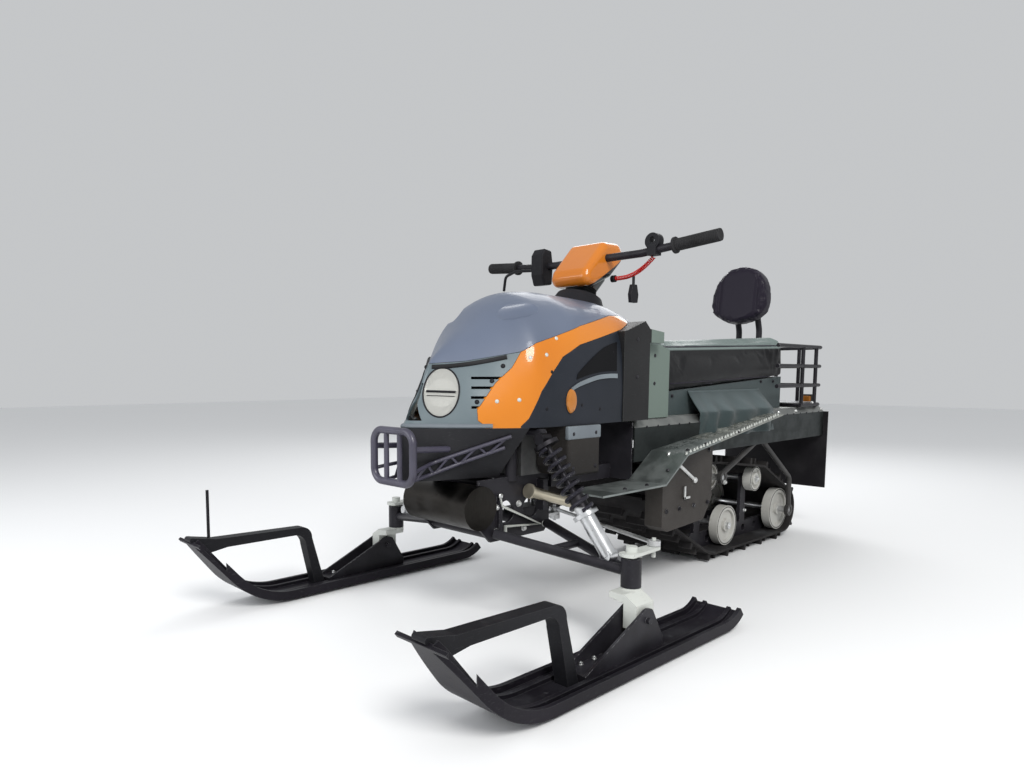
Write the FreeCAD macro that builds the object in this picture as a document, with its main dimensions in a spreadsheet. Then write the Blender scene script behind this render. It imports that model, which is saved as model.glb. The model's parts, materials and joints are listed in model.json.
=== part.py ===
import FreeCAD, Part
import math
import os
import re

import Sketcher

# A compact one-seat utility snowmobile, in millimetres.
# X points forwards, Y to the rider's left and Z up. The origin is on the ground,
# on the centreline, half way between the ski tips and the snow flap.

V = FreeCAD.Vector
UP = V(0, 0, 1)
ACROSS = V(0, 1, 0)
FORWARD = V(1, 0, 0)

doc = FreeCAD.newDocument("Snowmobile")
sheet = doc.addObject("Spreadsheet::Sheet", "Sizes")
nodes = []


dimensions = {
    # overall places
    "spindle_fore": 535, "tail_aft": 1185,
    # ski
    "ski_pivot_ahead": 30, "ski_stance": 930, "ski_width": 130, "ski_thick": 10, "ski_flat_fore": 350, "ski_flat_aft": 300,
    "ski_tip_radius": 235, "ski_tip_angle": 50, "ski_tip_run": 135, "ski_tip_wide": 54, "ski_taper": 170, "ski_tail_radius": 120, "ski_tail_angle": 38,
    "ski_rib_high": 9, "ski_rib_wide": 10, "ski_edge_high": 14, "ski_rib_space": 32,
    "runner_wide": 12, "runner_deep": 7,
    "handle_bar": 20, "handle_wide": 34, "handle_top": 192, "handle_apex_fore": 262, "handle_base_fore": 222,
    "handle_front": 548, "handle_corner": 34,
    "saddle_pivot_high": 96, "saddle_wall": 6, "saddle_fore": 225, "saddle_aft": 62, "saddle_boss": 26,
    "saddle_gap": 6, "ski_pin": 14, "pin_clear": 0.3, "marker_high": 327, "marker_dia": 8,
    # front suspension
    "kingpin_side": 430, "kingpin_bore": 26, "knuckle_tube": 46, "knuckle_low": 152, "knuckle_high": 218,
    "leg_wide": 34, "leg_boss": 22, "steer_arm": 90, "steer_arm_thick": 8, "steer_arm_wide": 30, "steer_arm_low": 222,
    "rod_end_thick": 12, "rod_end_dia": 30, "rod_dia": 10, "rod_pin": 10, "rod_gap": 1,
    "pitman_behind": 160, "arm_tube": 24, "arm_inner_side": 118, "arm_inner_high": 238, "arm_front_ahead": 120, "arm_rear_behind": 75,
    "shock_top_ahead": 50, "shock_top_side": 205, "shock_top_high": 478, "shock_low_side": 372, "shock_low_high": 208,
    "spring_dia": 58, "spring_wire": 9.5, "spring_turns": 8, "damper_dia": 38, "shaft_dia": 16,
    # steering
    "column_rake": 19, "column_dia": 22, "steer_ball": 30, "ball_high": 300, "bar_high": 962, "bar_half": 403, "bar_dia": 22,
    "grip_dia": 32, "grip_long": 118, "grip_sweep": 8, "bar_rise": 17, "bar_dip": 3,
    "pod_fore": 244, "pod_aft": 66, "pod_low": 876, "pod_top": 1008, "pod_wide": 136, "pod_foot": 874,
    "control_side": 172, "stop_side": 220, "stop_high": 986, "tether_dia": 13,
    # track
    "track_wide": 340, "track_thick": 7, "lug_high": 22, "lug_pitch": 64, "lug_root": 9,
    "rear_wheel": 80, "rear_wheel_fore": -885, "front_bend": 150, "front_bend_fore": -365,
    "sprocket": 74, "sprocket_fore": -35, "sprocket_high": 270,
    "carrier_wheel": 45, "carrier_front_fore": -355, "carrier_front_high": 285,
    "carrier_rear_fore": -685, "carrier_rear_high": 245, "wheel_wide": 30, "axle_dia": 22,
    "rail_side": 92, "rail_thick": 12, "rail_high": 52, "strut_dia": 18, "strut_apex_fore": -622, "strut_apex": 402,
    # tunnel and boards
    "tunnel_half": 196, "tunnel_top": 500, "tunnel_sheet": 4, "tunnel_fore": 180, "tail_overhang": 35, "tunnel_skirt": 118,
    "tunnel_shoulder": 22, "board_out_fore": 314, "board_out_aft": 262, "board_thick": 5,
    "board_toe_fore": 485, "board_toe_high": 336, "board_toe_aft": 205, "board_rise_fore": 95, "board_rise_high": 410,
    "board_aft": -620, "board_aft_high": 490, "guard_out": 252, "slot_long": 26, "slot_pitch": 44,
    # front frame and engine
    "frame_half": 105, "frame_sheet": 8, "frame_fore": 700, "frame_aft": 440, "frame_low": 215, "frame_high": 371.7,
    "frame_tube": 30, "engine_fore": 560, "engine_aft": 415, "engine_half": 118, "engine_low": 372, "engine_high": 600,
    "silencer_dia": 108, "silencer_fore": 700, "silencer_level": 305, "silencer_half": 116, "pipe_dia": 28, "pipe_side": 129.5,
    "pan_wall": 6, "pan_top": 499.7, "pan_low": 372, "pan_nose": 858, "pan_aft": 615,
    "bumper_fore": 875, "bumper_half": 74, "bumper_low": 374, "bumper_high": 496, "bumper_dia": 18, "guard_dia": 9,
    "cover_fore": 508, "cover_aft": 380, "cover_in": 124, "cover_out": 226, "cover_low": 374,
    # body panels
    "skin_thick": 5, "skin_low": 500, "seam": 0.8, "skin_room": 20,
    "lamp_long": 84, "lamp_high": 121, "lamp_fore": 765, "lamp_side": 45, "lamp_level": 585, "column_hole": 62,
    "louvre_high": 6, "louvre_long": 84,
    # seat and luggage
    "seat_half": 150, "seat_front": -19, "seat_rear": -868, "seat_front_top": 722, "seat_rear_top": 757,
    "seat_front_low": 571, "seat_rear_low": 618, "base_half": 140, "knee_half": 178, "knee_top": 712,
    "pad_fore": -812, "pad_high": 934, "pad_wide": 220, "pad_tall": 208, "pad_thick": 56, "post_side": 40, "post_dia": 22,
    "rack_half": 190, "rack_front": -720, "rack_inset": 37, "rack_bend": 60, "rack_dia": 14, "rack_low": 507, "rack_top": 731, "floor_thick": 3,
    "flap_half": 212, "flap_high": 478, "flap_low": 170, "flap_thick": 6, "tail_lamp_side": 110, "tail_lamp_wide": 90,
    "hitch_bore": 16, "hitch_thick": 10, "hitch_edge": 17,
}

# The body skin from nose to rear. For each station: its place, the half width low down, then half width and
# height at its middle, shoulder and crest, its top, and how much of its wall faces forwards.
stations = {
    "nose": (840, 12, 10, 503, 7.5, 507, 4, 510, 511, 1),
    "lip": (800, 47, 38, 528, 24, 552, 11, 567, 572, 1),
    "brow": (760, 86, 70, 548, 50, 585, 25, 626, 655, 1),
    "cheek": (700, 136, 124, 570, 94, 627, 62, 672, 708, 0.9),
    "jaw": (640, 178, 172, 572, 150, 650, 100, 718, 757, 0.5),
    "tower": (585, 205, 203, 600, 178, 705, 110, 777, 805, 0.25),
    "peak": (520, 211, 210, 612, 176, 748, 98, 816, 838, 0),
    "waist": (440, 214, 212, 620, 165, 786, 82, 832, 846, 0),
    "bars": (240, 208, 206, 640, 164, 778, 80, 826, 838, 0),
    "rear": (70, 186, 185, 640, 148, 744, 74, 789, 802, 0),
}
station_fields = ("x", "half", "middle", "middle_z", "shoulder", "shoulder_z", "crest", "crest_z", "top", "lean")
for name, values in stations.items():
    dimensions.update(("%s_%s" % (name, field), value) for field, value in zip(station_fields, values))

# Places that follow from other sizes.
derived = {
    "ski_pivot_fore": "spindle_fore+ski_pivot_ahead",
    "pitman_fore": "spindle_fore-pitman_behind",
    "arm_front_fore": "spindle_fore+arm_front_ahead",
    "arm_rear_fore": "spindle_fore-arm_rear_behind",
    "shock_top_fore": "spindle_fore+shock_top_ahead",
    "tunnel_aft": "tail_overhang-tail_aft",
    "rack_rear": "rack_inset-tail_aft",
}

for number, (name, size) in enumerate(dimensions.items(), 1):
    sheet.set("A%d" % number, name)
    sheet.set("B%d" % number, str(size))
    sheet.setAlias("B%d" % number, name)
doc.recompute()


def bound(expression):
    """Give an expression its sheet prefix wherever it names a size, and write out derived places."""
    def spelt(word):
        name = word.group(0)
        if name in derived:
            return "(%s)" % bound(derived[name])
        return "Sizes." + name if name in dimensions else name
    return re.sub(r"[A-Za-z_]\w*", spelt, str(expression))


def mm(expression):
    """The value of an expression of driving dimensions."""
    result = sheet.evalExpression(bound(expression))
    return float(getattr(result, "Value", result))


def spot(x, y, z):
    return V(mm(x), mm(y), mm(z))


def body(label):
    """A new solid body that the sub-part of this name is made in."""
    made = doc.addObject("PartDesign::Body", label)
    made.Label = label
    return made


def sketch(owner, role, offset="0"):
    """A sketch on one of the body's own origin planes, set off along its normal."""
    made = owner.newObject("Sketcher::SketchObject", owner.Name + "_sketch")
    face = [feature for feature in owner.Origin.OriginFeatures if feature.Role == role][0]
    made.AttachmentSupport = (face, [""])
    made.MapMode = "FlatFace"
    made.AttachmentOffset = FreeCAD.Placement(V(0, 0, mm(offset)), FreeCAD.Rotation())
    made.setExpression("AttachmentOffset.Base.z", bound(offset))
    return made


def outline(drawing, points):
    """Close a profile through points; a point with a third and fourth value is reached by an arc through them."""
    count = len(points)
    ends = [V(mm(point[0]), mm(point[1]), 0) for point in points]
    base = drawing.GeometryCount
    passed = []
    for index in range(count):
        start = ends[index]
        after = (index + 1) % count
        finish = ends[after]
        if len(points[after]) == 4:
            through = V(mm(points[after][2]), mm(points[after][3]), 0)
            turns_left = (through - start).cross(finish - through).z > 0
            drawing.addGeometry(Part.Arc(start, through, finish) if turns_left else Part.Arc(finish, through, start))
            passed.append((base + index, points[after][2], points[after][3], through))
        else:
            drawing.addGeometry(Part.LineSegment(start, finish))
    curves = drawing.Geometry
    for index in range(count):
        after = (index + 1) % count
        ending = curves[base + index]
        last = 2 if (ending.EndPoint - ends[after]).Length < 1e-6 else 1
        leading = curves[base + after]
        first = 1 if (leading.StartPoint - ends[after]).Length < 1e-6 else 2
        drawing.addConstraint(Sketcher.Constraint("Coincident", base + index, last, base + after, first))
        for kind, place in (("DistanceX", 0), ("DistanceY", 1)):
            value = ends[after].x if place == 0 else ends[after].y
            number = drawing.addConstraint(Sketcher.Constraint(kind, -1, 1, base + after, first, value))
            drawing.setExpression("Constraints[%d]" % number, bound(points[after][place]))
    for curve, x, y, through in passed:
        point = drawing.addGeometry(Part.Point(through), True)
        drawing.addConstraint(Sketcher.Constraint("PointOnObject", point, 1, curve))
        for kind, text, value in (("DistanceX", x, through.x), ("DistanceY", y, through.y)):
            number = drawing.addConstraint(Sketcher.Constraint(kind, -1, 1, point, 1, value))
            drawing.setExpression("Constraints[%d]" % number, bound(text))


def ring(drawing, x, y, radius):
    """A full circle at a bound centre."""
    number = drawing.addGeometry(Part.Circle(V(mm(x), mm(y), 0), V(0, 0, 1), mm(radius)))
    for kind, text, value in (("DistanceX", x, mm(x)), ("DistanceY", y, mm(y))):
        made = drawing.addConstraint(Sketcher.Constraint(kind, -1, 1, number, 3, value))
        drawing.setExpression("Constraints[%d]" % made, bound(text))
    made = drawing.addConstraint(Sketcher.Constraint("Radius", number, mm(radius)))
    drawing.setExpression("Constraints[%d]" % made, bound(radius))


def pad(owner, drawing, length):
    made = owner.newObject("PartDesign::Pad", owner.Name + "_pad")
    made.Profile = drawing
    made.Midplane = True
    made.Length = mm(length)
    made.setExpression("Length", bound(length))
    drawing.Visibility = False
    doc.recompute()
    return made


def pocket(owner, drawing, length):
    """Cut the sketch through the body, both ways from its plane."""
    before = owner.Shape.Volume
    made = owner.newObject("PartDesign::Pocket", owner.Name + "_pocket")
    made.Profile = drawing
    made.Midplane = True
    made.Length = mm(length)
    made.setExpression("Length", bound(length))
    doc.recompute()
    if owner.Shape.Volume >= before:
        raise RuntimeError("pocket cuts nothing in " + owner.Label)
    return made


def rounded(owner, radius, chosen):
    """Round the edges of a body that a test picks out."""
    base = owner.Tip
    picked = ["Edge%d" % (number + 1) for number, edge in enumerate(base.Shape.Edges) if chosen(edge)]
    made = owner.newObject("PartDesign::Fillet", owner.Name + "_round")
    made.Base = (base, picked)
    made.Radius = mm(radius)
    made.setExpression("Radius", bound(radius))
    doc.recompute()
    return made


def in_side_face(half):
    """A test for edges that lie in one of the two flat sides of a plate."""
    return lambda edge: all(abs(abs(vertex.Point.y) - half) < 0.01 for vertex in edge.Vertexes)


def repeated(owner, cut, drawing, length, count):
    """Repeat a cut along the sketch's own first axis."""
    made = owner.newObject("PartDesign::LinearPattern", owner.Name + "_row")
    made.Originals = [cut]
    made.Direction = (drawing, ["H_Axis"])
    made.Length = mm(length)
    made.setExpression("Length", bound(length))
    made.Occurrences = count
    made.Reversed = True
    owner.Tip = made
    doc.recompute()
    return made


def side_plate(label, points, side, thick, holes=()):
    """A plate drawn in side view, centred at a distance to the left of the centreline."""
    made = body(label)
    drawing = sketch(made, "XZ_Plane", "-(%s)" % side)
    outline(drawing, points)
    for hole in holes:
        ring(drawing, *hole)
    pad(made, drawing, thick)
    return made


def flat_plate(label, points, high, thick, holes=()):
    """A plate drawn in plan, centred at a height."""
    made = body(label)
    drawing = sketch(made, "XY_Plane", high)
    outline(drawing, points)
    for hole in holes:
        ring(drawing, *hole)
    pad(made, drawing, thick)
    return made


def cross_plate(label, points, fore, thick, holes=()):
    """A plate drawn in front view, across the machine."""
    made = body(label)
    drawing = sketch(made, "YZ_Plane", fore)
    outline(drawing, points)
    for hole in holes:
        ring(drawing, *hole)
    pad(made, drawing, thick)
    return made


def box(label, low, high):
    """A block between two corners of bound coordinates."""
    made = doc.addObject("Part::Box", label)
    for field, place in (("Length", 0), ("Width", 1), ("Height", 2)):
        text = "(%s)-(%s)" % (high[place], low[place])
        made.setExpression(field, bound(text))
    for axis, place in (("x", 0), ("y", 1), ("z", 2)):
        made.setExpression("Placement.Base." + axis, bound(low[place]))
    return made


def rod(label, start, finish, diameter):
    """A round bar between two points."""
    made = doc.addObject("Part::Cylinder", label)
    made.Radius = mm(diameter) / 2
    made.setExpression("Radius", bound("(%s)/2" % diameter))
    made.Height = (finish - start).Length
    made.Placement = FreeCAD.Placement(start, FreeCAD.Rotation(UP, finish - start))
    return made


def hollow(label, outer, inner):
    made = doc.addObject("Part::Cut", label)
    made.Base = outer
    made.Tool = inner
    return made


def fused(label, parts):
    """Parts of one piece, joined where they touch."""
    made = doc.addObject("Part::MultiFuse", label)
    made.Label = label
    made.Shapes = parts
    return made


def mirrored(label, source):
    """The same piece on the other side of the centreline."""
    made = doc.addObject("Part::Mirroring", label)
    made.Label = label
    made.Source = source
    made.Normal = ACROSS
    made.Base = V(0, 0, 0)
    return made


def grouped(label, parts):
    """Like pieces that share a sub-part and don't touch."""
    made = doc.addObject("Part::Compound", label)
    made.Label = label
    made.Links = parts
    return made


def shaped(label, shape):
    """A piece whose form needs Part's own functions."""
    made = doc.addObject("Part::Feature", label)
    made.Label = label
    made.Shape = shape
    return made


def node(piece, label=None):
    """Keep a piece as a sub-part of this name."""
    if label:
        piece.Label = label
    nodes.append(piece)
    return piece


def bent_tube(points, radius, diameter):
    """A round bar along straight runs joined by tangent arcs of one radius."""
    edges = []
    here = points[0]
    for before, corner, after in zip(points, points[1:], points[2:]):
        inwards = (corner - before).normalize()
        outwards = (after - corner).normalize()
        half = math.acos(max(-1, min(1, inwards.dot(outwards)))) / 2
        setback = radius * math.tan(half)
        start = corner - inwards * setback
        finish = corner + outwards * setback
        bulge = (outwards - inwards).normalize()
        middle = corner + bulge * (radius / math.cos(half) - radius)
        edges.append(Part.LineSegment(here, start).toShape())
        edges.append(Part.Arc(start, middle, finish).toShape())
        here = finish
    edges.append(Part.LineSegment(here, points[-1]).toShape())
    path = Part.Wire(edges)
    first = (points[1] - points[0]).normalize()
    section = Part.Wire([Part.Circle(points[0], first, diameter / 2).toShape()])
    return path.makePipeShell([section], True, False)


# The ski: a moulded sole with a raised tip and tail, ribs along its deck and a steel runner below.

def ski_curve(offset):
    """Points of the ski's side view at a distance above its sole, tail to tip, with arcs at both ends."""
    tip = mm("ski_tip_angle")
    tail = mm("ski_tail_angle")
    tip_x = "ski_pivot_fore+ski_flat_fore"
    tail_x = "ski_pivot_fore-ski_flat_aft"
    tip_r = "(ski_tip_radius-(%s))" % offset
    tail_r = "(ski_tail_radius-(%s))" % offset
    sole = "runner_deep+(%s)" % offset

    def tail_point(angle):
        return ("%s-%s*%.6f" % (tail_x, tail_r, math.sin(math.radians(angle))),
                "%s+%s*%.6f" % (sole, tail_r, 1 - math.cos(math.radians(angle))))

    def tip_point(angle):
        return ("%s+%s*%.6f" % (tip_x, tip_r, math.sin(math.radians(angle))),
                "%s+%s*%.6f" % (sole, tip_r, 1 - math.cos(math.radians(angle))))

    end = tip_point(tip)
    run = (end[0] + "+ski_tip_run*%.6f" % math.cos(math.radians(tip)),
           end[1] + "+ski_tip_run*%.6f" % math.sin(math.radians(tip)))
    return {"tail": tail_point(tail), "tail_mid": tail_point(tail / 2), "flat_aft": (tail_x, sole),
            "flat_fore": (tip_x, sole), "tip_mid": tip_point(tip / 2), "tip": end, "run": run}


def ski_layer(label, low, high, side, wide):
    """A strip of the ski between two levels above its sole, with the ski's own curve."""
    under = ski_curve(low)
    over = ski_curve(high)
    points = [under["tail"], under["flat_aft"] + under["tail_mid"], under["flat_fore"],
              under["tip"] + under["tip_mid"], under["run"], over["run"], over["tip"],
              over["flat_fore"] + over["tip_mid"], over["flat_aft"], over["tail"] + over["tail_mid"]]
    return side_plate(label, points, side, wide)


half_stance = "ski_stance/2"
tip_end = ski_curve("ski_thick")["run"]
sole = ski_layer("ski_sole", "0", "ski_thick", half_stance, "ski_width")
edges = [ski_layer("ski_edge_%d" % (sign + 2), "ski_thick", "ski_thick+ski_edge_high",
                   "ski_stance/2+%d*(ski_width-ski_rib_wide)/2" % sign, "ski_rib_wide") for sign in (-1, 1)]
ribs = [ski_layer("ski_rib_%d" % (sign + 2), "ski_thick", "ski_thick+ski_rib_high",
                  "ski_stance/2+%d*ski_rib_space" % sign, "ski_rib_wide") for sign in (-1, 1)]
runner = side_plate("ski_runner",
                    [("ski_pivot_fore-ski_flat_aft+30", "0"), ("ski_pivot_fore+ski_flat_fore-30", "0"),
                     ("ski_pivot_fore+ski_flat_fore", "runner_deep"), ("ski_pivot_fore-ski_flat_aft", "runner_deep")],
                    half_stance, "runner_wide")
deck = "runner_deep+ski_thick"
tip_cuts = []
for sign in (-1, 1):
    edge_y = "ski_stance/2+%d*(ski_width/2+1)" % sign
    near_y = "ski_stance/2+%d*ski_tip_wide/2" % sign
    tip_cuts.append(flat_plate("tip_cut_%d" % (sign + 2),
                               [("%s-ski_taper" % tip_end[0], edge_y),
                                ("%s+2" % tip_end[0], near_y, "%s-ski_taper*0.42" % tip_end[0],
                                 "ski_stance/2+%d*(ski_width*0.43)" % sign),
                                ("%s+2" % tip_end[0], edge_y)], "150", "300"))

# The loop at the front of each ski, which the rider lifts it by; its front end is capped onto the ski's tip.
handle = side_plate("ski_handle",
                    [("ski_pivot_fore+handle_base_fore", deck),
                     ("ski_pivot_fore+handle_base_fore+handle_bar*1.6", deck),
                     ("ski_pivot_fore+handle_apex_fore+handle_bar", "handle_top-handle_bar-handle_corner"),
                     ("ski_pivot_fore+handle_apex_fore+handle_corner+handle_bar", "handle_top-handle_bar",
                      "ski_pivot_fore+handle_apex_fore+handle_bar+handle_corner*0.3",
                      "handle_top-handle_bar-handle_corner*0.3"),
                     ("ski_pivot_fore+handle_front-30", "handle_top-handle_bar"),
                     ("ski_pivot_fore+handle_front+20", "handle_top-handle_bar-8"),
                     ("%s+3" % tip_end[0], "%s-3" % tip_end[1]),
                     ("%s+2" % tip_end[0], "%s+9" % tip_end[1],
                      "%s+10" % tip_end[0], "%s+4" % tip_end[1]),
                     ("ski_pivot_fore+handle_front", "handle_top+6"),
                     ("ski_pivot_fore+handle_apex_fore+handle_corner", "handle_top"),
                     ("ski_pivot_fore+handle_apex_fore", "handle_top-handle_corner",
                      "ski_pivot_fore+handle_apex_fore+handle_corner*0.28", "handle_top-handle_corner*0.28")],
                    half_stance, "handle_wide")

# The saddle: two plates beside the spindle leg, joined by a foot on the ski's deck.
saddle_inner = "leg_wide/2+saddle_gap"
plates = []
for sign in (-1, 1):
    plates.append(side_plate("saddle_plate_%d" % (sign + 2),
                             [("ski_pivot_fore-saddle_aft", deck),
                              ("ski_pivot_fore+saddle_fore-10", deck),
                              ("ski_pivot_fore+saddle_fore-10", "%s+14" % deck),
                              ("ski_pivot_fore+saddle_boss*0.8", "saddle_pivot_high+saddle_boss*0.75"),
                              ("ski_pivot_fore-saddle_boss*0.8", "saddle_pivot_high+saddle_boss*0.75",
                               "ski_pivot_fore", "saddle_pivot_high+saddle_boss"),
                              ("ski_pivot_fore-saddle_aft", "%s+30" % deck)],
                             "ski_stance/2+%d*(%s+saddle_wall/2)" % (sign, saddle_inner), "saddle_wall"))
foot = box("saddle_foot",
           ("ski_pivot_fore-saddle_aft", "ski_stance/2-(%s)" % saddle_inner, deck),
           ("ski_pivot_fore+saddle_fore-10", "ski_stance/2+(%s)" % saddle_inner, "%s+14" % deck))
pin = rod("ski_pin_bar", spot("ski_pivot_fore", "ski_stance/2-(%s+saddle_wall+8)" % saddle_inner, "saddle_pivot_high"),
          spot("ski_pivot_fore", "ski_stance/2+(%s+saddle_wall+8)" % saddle_inner, "saddle_pivot_high"), "ski_pin")

ski_left = node(hollow("ski_left", fused("ski_solid", [sole, runner] + edges + ribs), fused("tip_rooms", tip_cuts)))
ski_right = node(mirrored("ski_right", ski_left))
marker_x = "ski_pivot_fore+handle_front+14"
node(rod("ski_marker", spot(marker_x, "-ski_stance/2", "handle_top+9.8"), spot(marker_x, "-ski_stance/2", "marker_high"),
         "marker_dia"))
handle_left = node(hollow("ski_handle_left", handle, ski_left))
handle_right = node(mirrored("ski_handle_right", handle_left))
saddle_left = node(hollow("ski_saddle_left", fused("saddle_solid", plates + [foot, pin]), ski_left))
saddle_right = node(mirrored("ski_saddle_right", saddle_left))

# The spindle: a kingpin in the knuckle, a steering arm above it and a leg down to the ski's pin.
kingpin = rod("kingpin", spot("spindle_fore", "kingpin_side", "knuckle_low-12"),
              spot("spindle_fore", "kingpin_side", "steer_arm_low+steer_arm_thick+14"), "kingpin_bore-2*pin_clear")
collar = rod("spindle_collar", spot("spindle_fore", "kingpin_side", "knuckle_low-12"),
             spot("spindle_fore", "kingpin_side", "knuckle_low-1"), "knuckle_tube")
leg = cross_plate("spindle_leg",
                  [("kingpin_side-20", "knuckle_low-4"), ("kingpin_side+20", "knuckle_low-4"),
                   ("ski_stance/2+leg_wide/2", "saddle_pivot_high+saddle_boss+6"),
                   ("ski_stance/2+leg_wide/2", "saddle_pivot_high-leg_boss"),
                   ("ski_stance/2-leg_wide/2", "saddle_pivot_high-leg_boss"),
                   ("ski_stance/2-leg_wide/2", "saddle_pivot_high+saddle_boss+6"),
                   ("kingpin_side-20", "saddle_pivot_high+saddle_boss+12")],
                  "(spindle_fore+ski_pivot_fore)/2+6", "ski_pivot_fore-spindle_fore+36")
arm = flat_plate("steering_arm",
                 [("spindle_fore+20", "kingpin_side-20"),
                  ("spindle_fore+20", "kingpin_side+20", "spindle_fore+28", "kingpin_side"),
                  ("spindle_fore-steer_arm", "kingpin_side+steer_arm_wide/2"),
                  ("spindle_fore-steer_arm", "kingpin_side-steer_arm_wide/2",
                   "spindle_fore-steer_arm-steer_arm_wide/2", "kingpin_side")],
                 "steer_arm_low+steer_arm_thick/2", "steer_arm_thick")
arm_pin = rod("steering_arm_pin",
              spot("spindle_fore-steer_arm", "kingpin_side", "steer_arm_low-rod_gap-rod_end_thick-6"),
              spot("spindle_fore-steer_arm", "kingpin_side", "steer_arm_low+steer_arm_thick+rod_gap+rod_end_thick+6"),
              "rod_pin-2*pin_clear")
leg_bore = rod("spindle_leg_bore", spot("ski_pivot_fore", "ski_stance/2-leg_wide", "saddle_pivot_high"),
               spot("ski_pivot_fore", "ski_stance/2+leg_wide", "saddle_pivot_high"), "ski_pin+2*pin_clear")
spindle_solid = fused("spindle_solid", [kingpin, collar, leg, arm, arm_pin])
spindle_left = node(hollow("spindle_left", spindle_solid, leg_bore))
spindle_right = node(mirrored("spindle_right", spindle_left))

# The lower arms: two tubes a side that meet at the knuckle, and the upright tube the kingpin turns in.
knuckle_mid = "(knuckle_low+knuckle_high)/2"
knuckle_tube = rod("knuckle_tube_bar", spot("spindle_fore", "kingpin_side", "knuckle_low"),
                   spot("spindle_fore", "kingpin_side", "knuckle_high"), "knuckle_tube")
knuckle_bore = rod("knuckle_bore_bar", spot("spindle_fore", "kingpin_side", "knuckle_low-2"),
                   spot("spindle_fore", "kingpin_side", "knuckle_high+2"), "kingpin_bore")
arm_end = spot("spindle_fore", "kingpin_side-knuckle_tube*0.3", knuckle_mid)
arm_tubes = [rod("arm_tube_front", spot("arm_front_fore", "arm_inner_side", "arm_inner_high"), arm_end, "arm_tube"),
             rod("arm_tube_rear", spot("arm_rear_fore", "arm_inner_side", "arm_inner_high"), arm_end, "arm_tube")]
brace_at = 0.45
brace = rod("arm_brace", spot("arm_front_fore", "arm_inner_side", "arm_inner_high") * (1 - brace_at) + arm_end * brace_at,
            spot("arm_rear_fore", "arm_inner_side", "arm_inner_high") * (1 - brace_at) + arm_end * brace_at, "arm_tube*0.8")
shock_foot = box("shock_foot", ("spindle_fore-14", "shock_low_side-16", knuckle_mid),
                 ("spindle_fore+14", "shock_low_side+12", "shock_low_high"))

# The shock absorbers: a damper tube, its shaft and a coil spring around the upper half.
shock_top = spot("shock_top_fore", "shock_top_side", "shock_top_high")
shock_low = spot("spindle_fore", "shock_low_side", "shock_low_high")
shock_line = (shock_low - shock_top).normalize()
shock_long = (shock_low - shock_top).Length


def along(distance):
    return shock_top + shock_line * distance


damper = rod("damper_tube", along(shock_long * 0.5), along(shock_long - 4), "damper_dia")
shaft = rod("damper_shaft", along(4), along(shock_long * 0.55), "shaft_dia")
top_seat = rod("spring_top_seat", along(18), along(28), "spring_dia+4")
low_seat = rod("spring_low_seat", along(shock_long * 0.64), along(shock_long * 0.64 + 10), "spring_dia+4")
eyes = [rod("shock_eye_%d" % index, spot_at - FORWARD * 16, spot_at + FORWARD * 16, "30")
        for index, spot_at in enumerate((along(6), along(shock_long - 6)))]
shock_left = fused("shock_solid", [damper, shaft, top_seat, low_seat] + eyes)
arm_left = (hollow("suspension_arm_left",
                       fused("arm_solid", arm_tubes + [brace, knuckle_tube, shock_foot]),
                       fused("arm_rooms", [knuckle_bore, shock_left])))
node(grouped("suspension_arms", [arm_left, mirrored("suspension_arm_right", arm_left)]))
shock_right = mirrored("shock_solid_right", shock_left)
shocks = node(grouped("shock_dampers", [shock_left, shock_right]))

spring_run = shock_long * 0.64 - 28 - mm("spring_wire")
turns = mm("spring_turns")
helix = Part.makeHelix(spring_run / turns, spring_run, (mm("spring_dia") - mm("spring_wire")) / 2)
wire_at = V((mm("spring_dia") - mm("spring_wire")) / 2, 0, 0)
wire_corners = [wire_at + V(math.cos(math.radians(60 * step)), 0, math.sin(math.radians(60 * step))) * (mm("spring_wire") / 2)
                for step in range(6)]
wire_section = Part.makePolygon(wire_corners + wire_corners[:1])
coil = Part.Wire(helix.Edges).makePipeShell([wire_section], True, True)
coil.Placement = FreeCAD.Placement(along(28 + mm("spring_wire") / 2), FreeCAD.Rotation(UP, shock_line))
spring_left = shaped("spring_coil", coil)
springs = node(grouped("shock_springs", [spring_left, mirrored("spring_coil_right", spring_left)]))

# The column's foot is a ball joint under its boot, so a raked column turns an upright pitman shaft.
ball = spot("pitman_fore", "0", "ball_high")
rake = math.radians(mm("column_rake"))
column_line = V(-math.sin(rake), 0, math.cos(rake))


def up_column(high):
    """The point of the column's axis at a height."""
    return ball + column_line * ((high - ball.z) / column_line.z)


bar_centre = up_column(mm("bar_high"))
column_bar = rod("column_bar", ball + column_line * (mm("steer_ball") / 2 + 2), bar_centre, "column_dia")
cup_outer = Part.makeSphere(mm("steer_ball") / 2 + 8, ball, column_line, 0, 90, 360)
cup_inner = Part.makeSphere(mm("steer_ball") / 2 + mm("pin_clear"), ball)
cup = shaped("column_cup", cup_outer.cut(cup_inner))

pitman_ball = doc.addObject("Part::Sphere", "pitman_ball")
pitman_ball.setExpression("Radius", bound("steer_ball/2"))
pitman_ball.Placement = FreeCAD.Placement(ball, FreeCAD.Rotation())
pitman_bar = rod("pitman_bar", spot("pitman_fore", "0", "steer_arm_low-22"), ball, "column_dia")
pitman_plate = flat_plate("pitman_plate",
                          [("pitman_fore+20", "-20"), ("pitman_fore+20", "20", "pitman_fore+28", "0"),
                           ("pitman_fore-steer_arm", "steer_arm_wide/2"),
                           ("pitman_fore-steer_arm", "-steer_arm_wide/2",
                            "pitman_fore-steer_arm-steer_arm_wide/2", "0")],
                          "steer_arm_low+steer_arm_thick/2", "steer_arm_thick")
pitman_pin = rod("pitman_pin", spot("pitman_fore-steer_arm", "0", "steer_arm_low-rod_gap-rod_end_thick-6"),
                 spot("pitman_fore-steer_arm", "0", "steer_arm_low+steer_arm_thick+rod_gap+rod_end_thick+6"),
                 "rod_pin-2*pin_clear")
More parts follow.
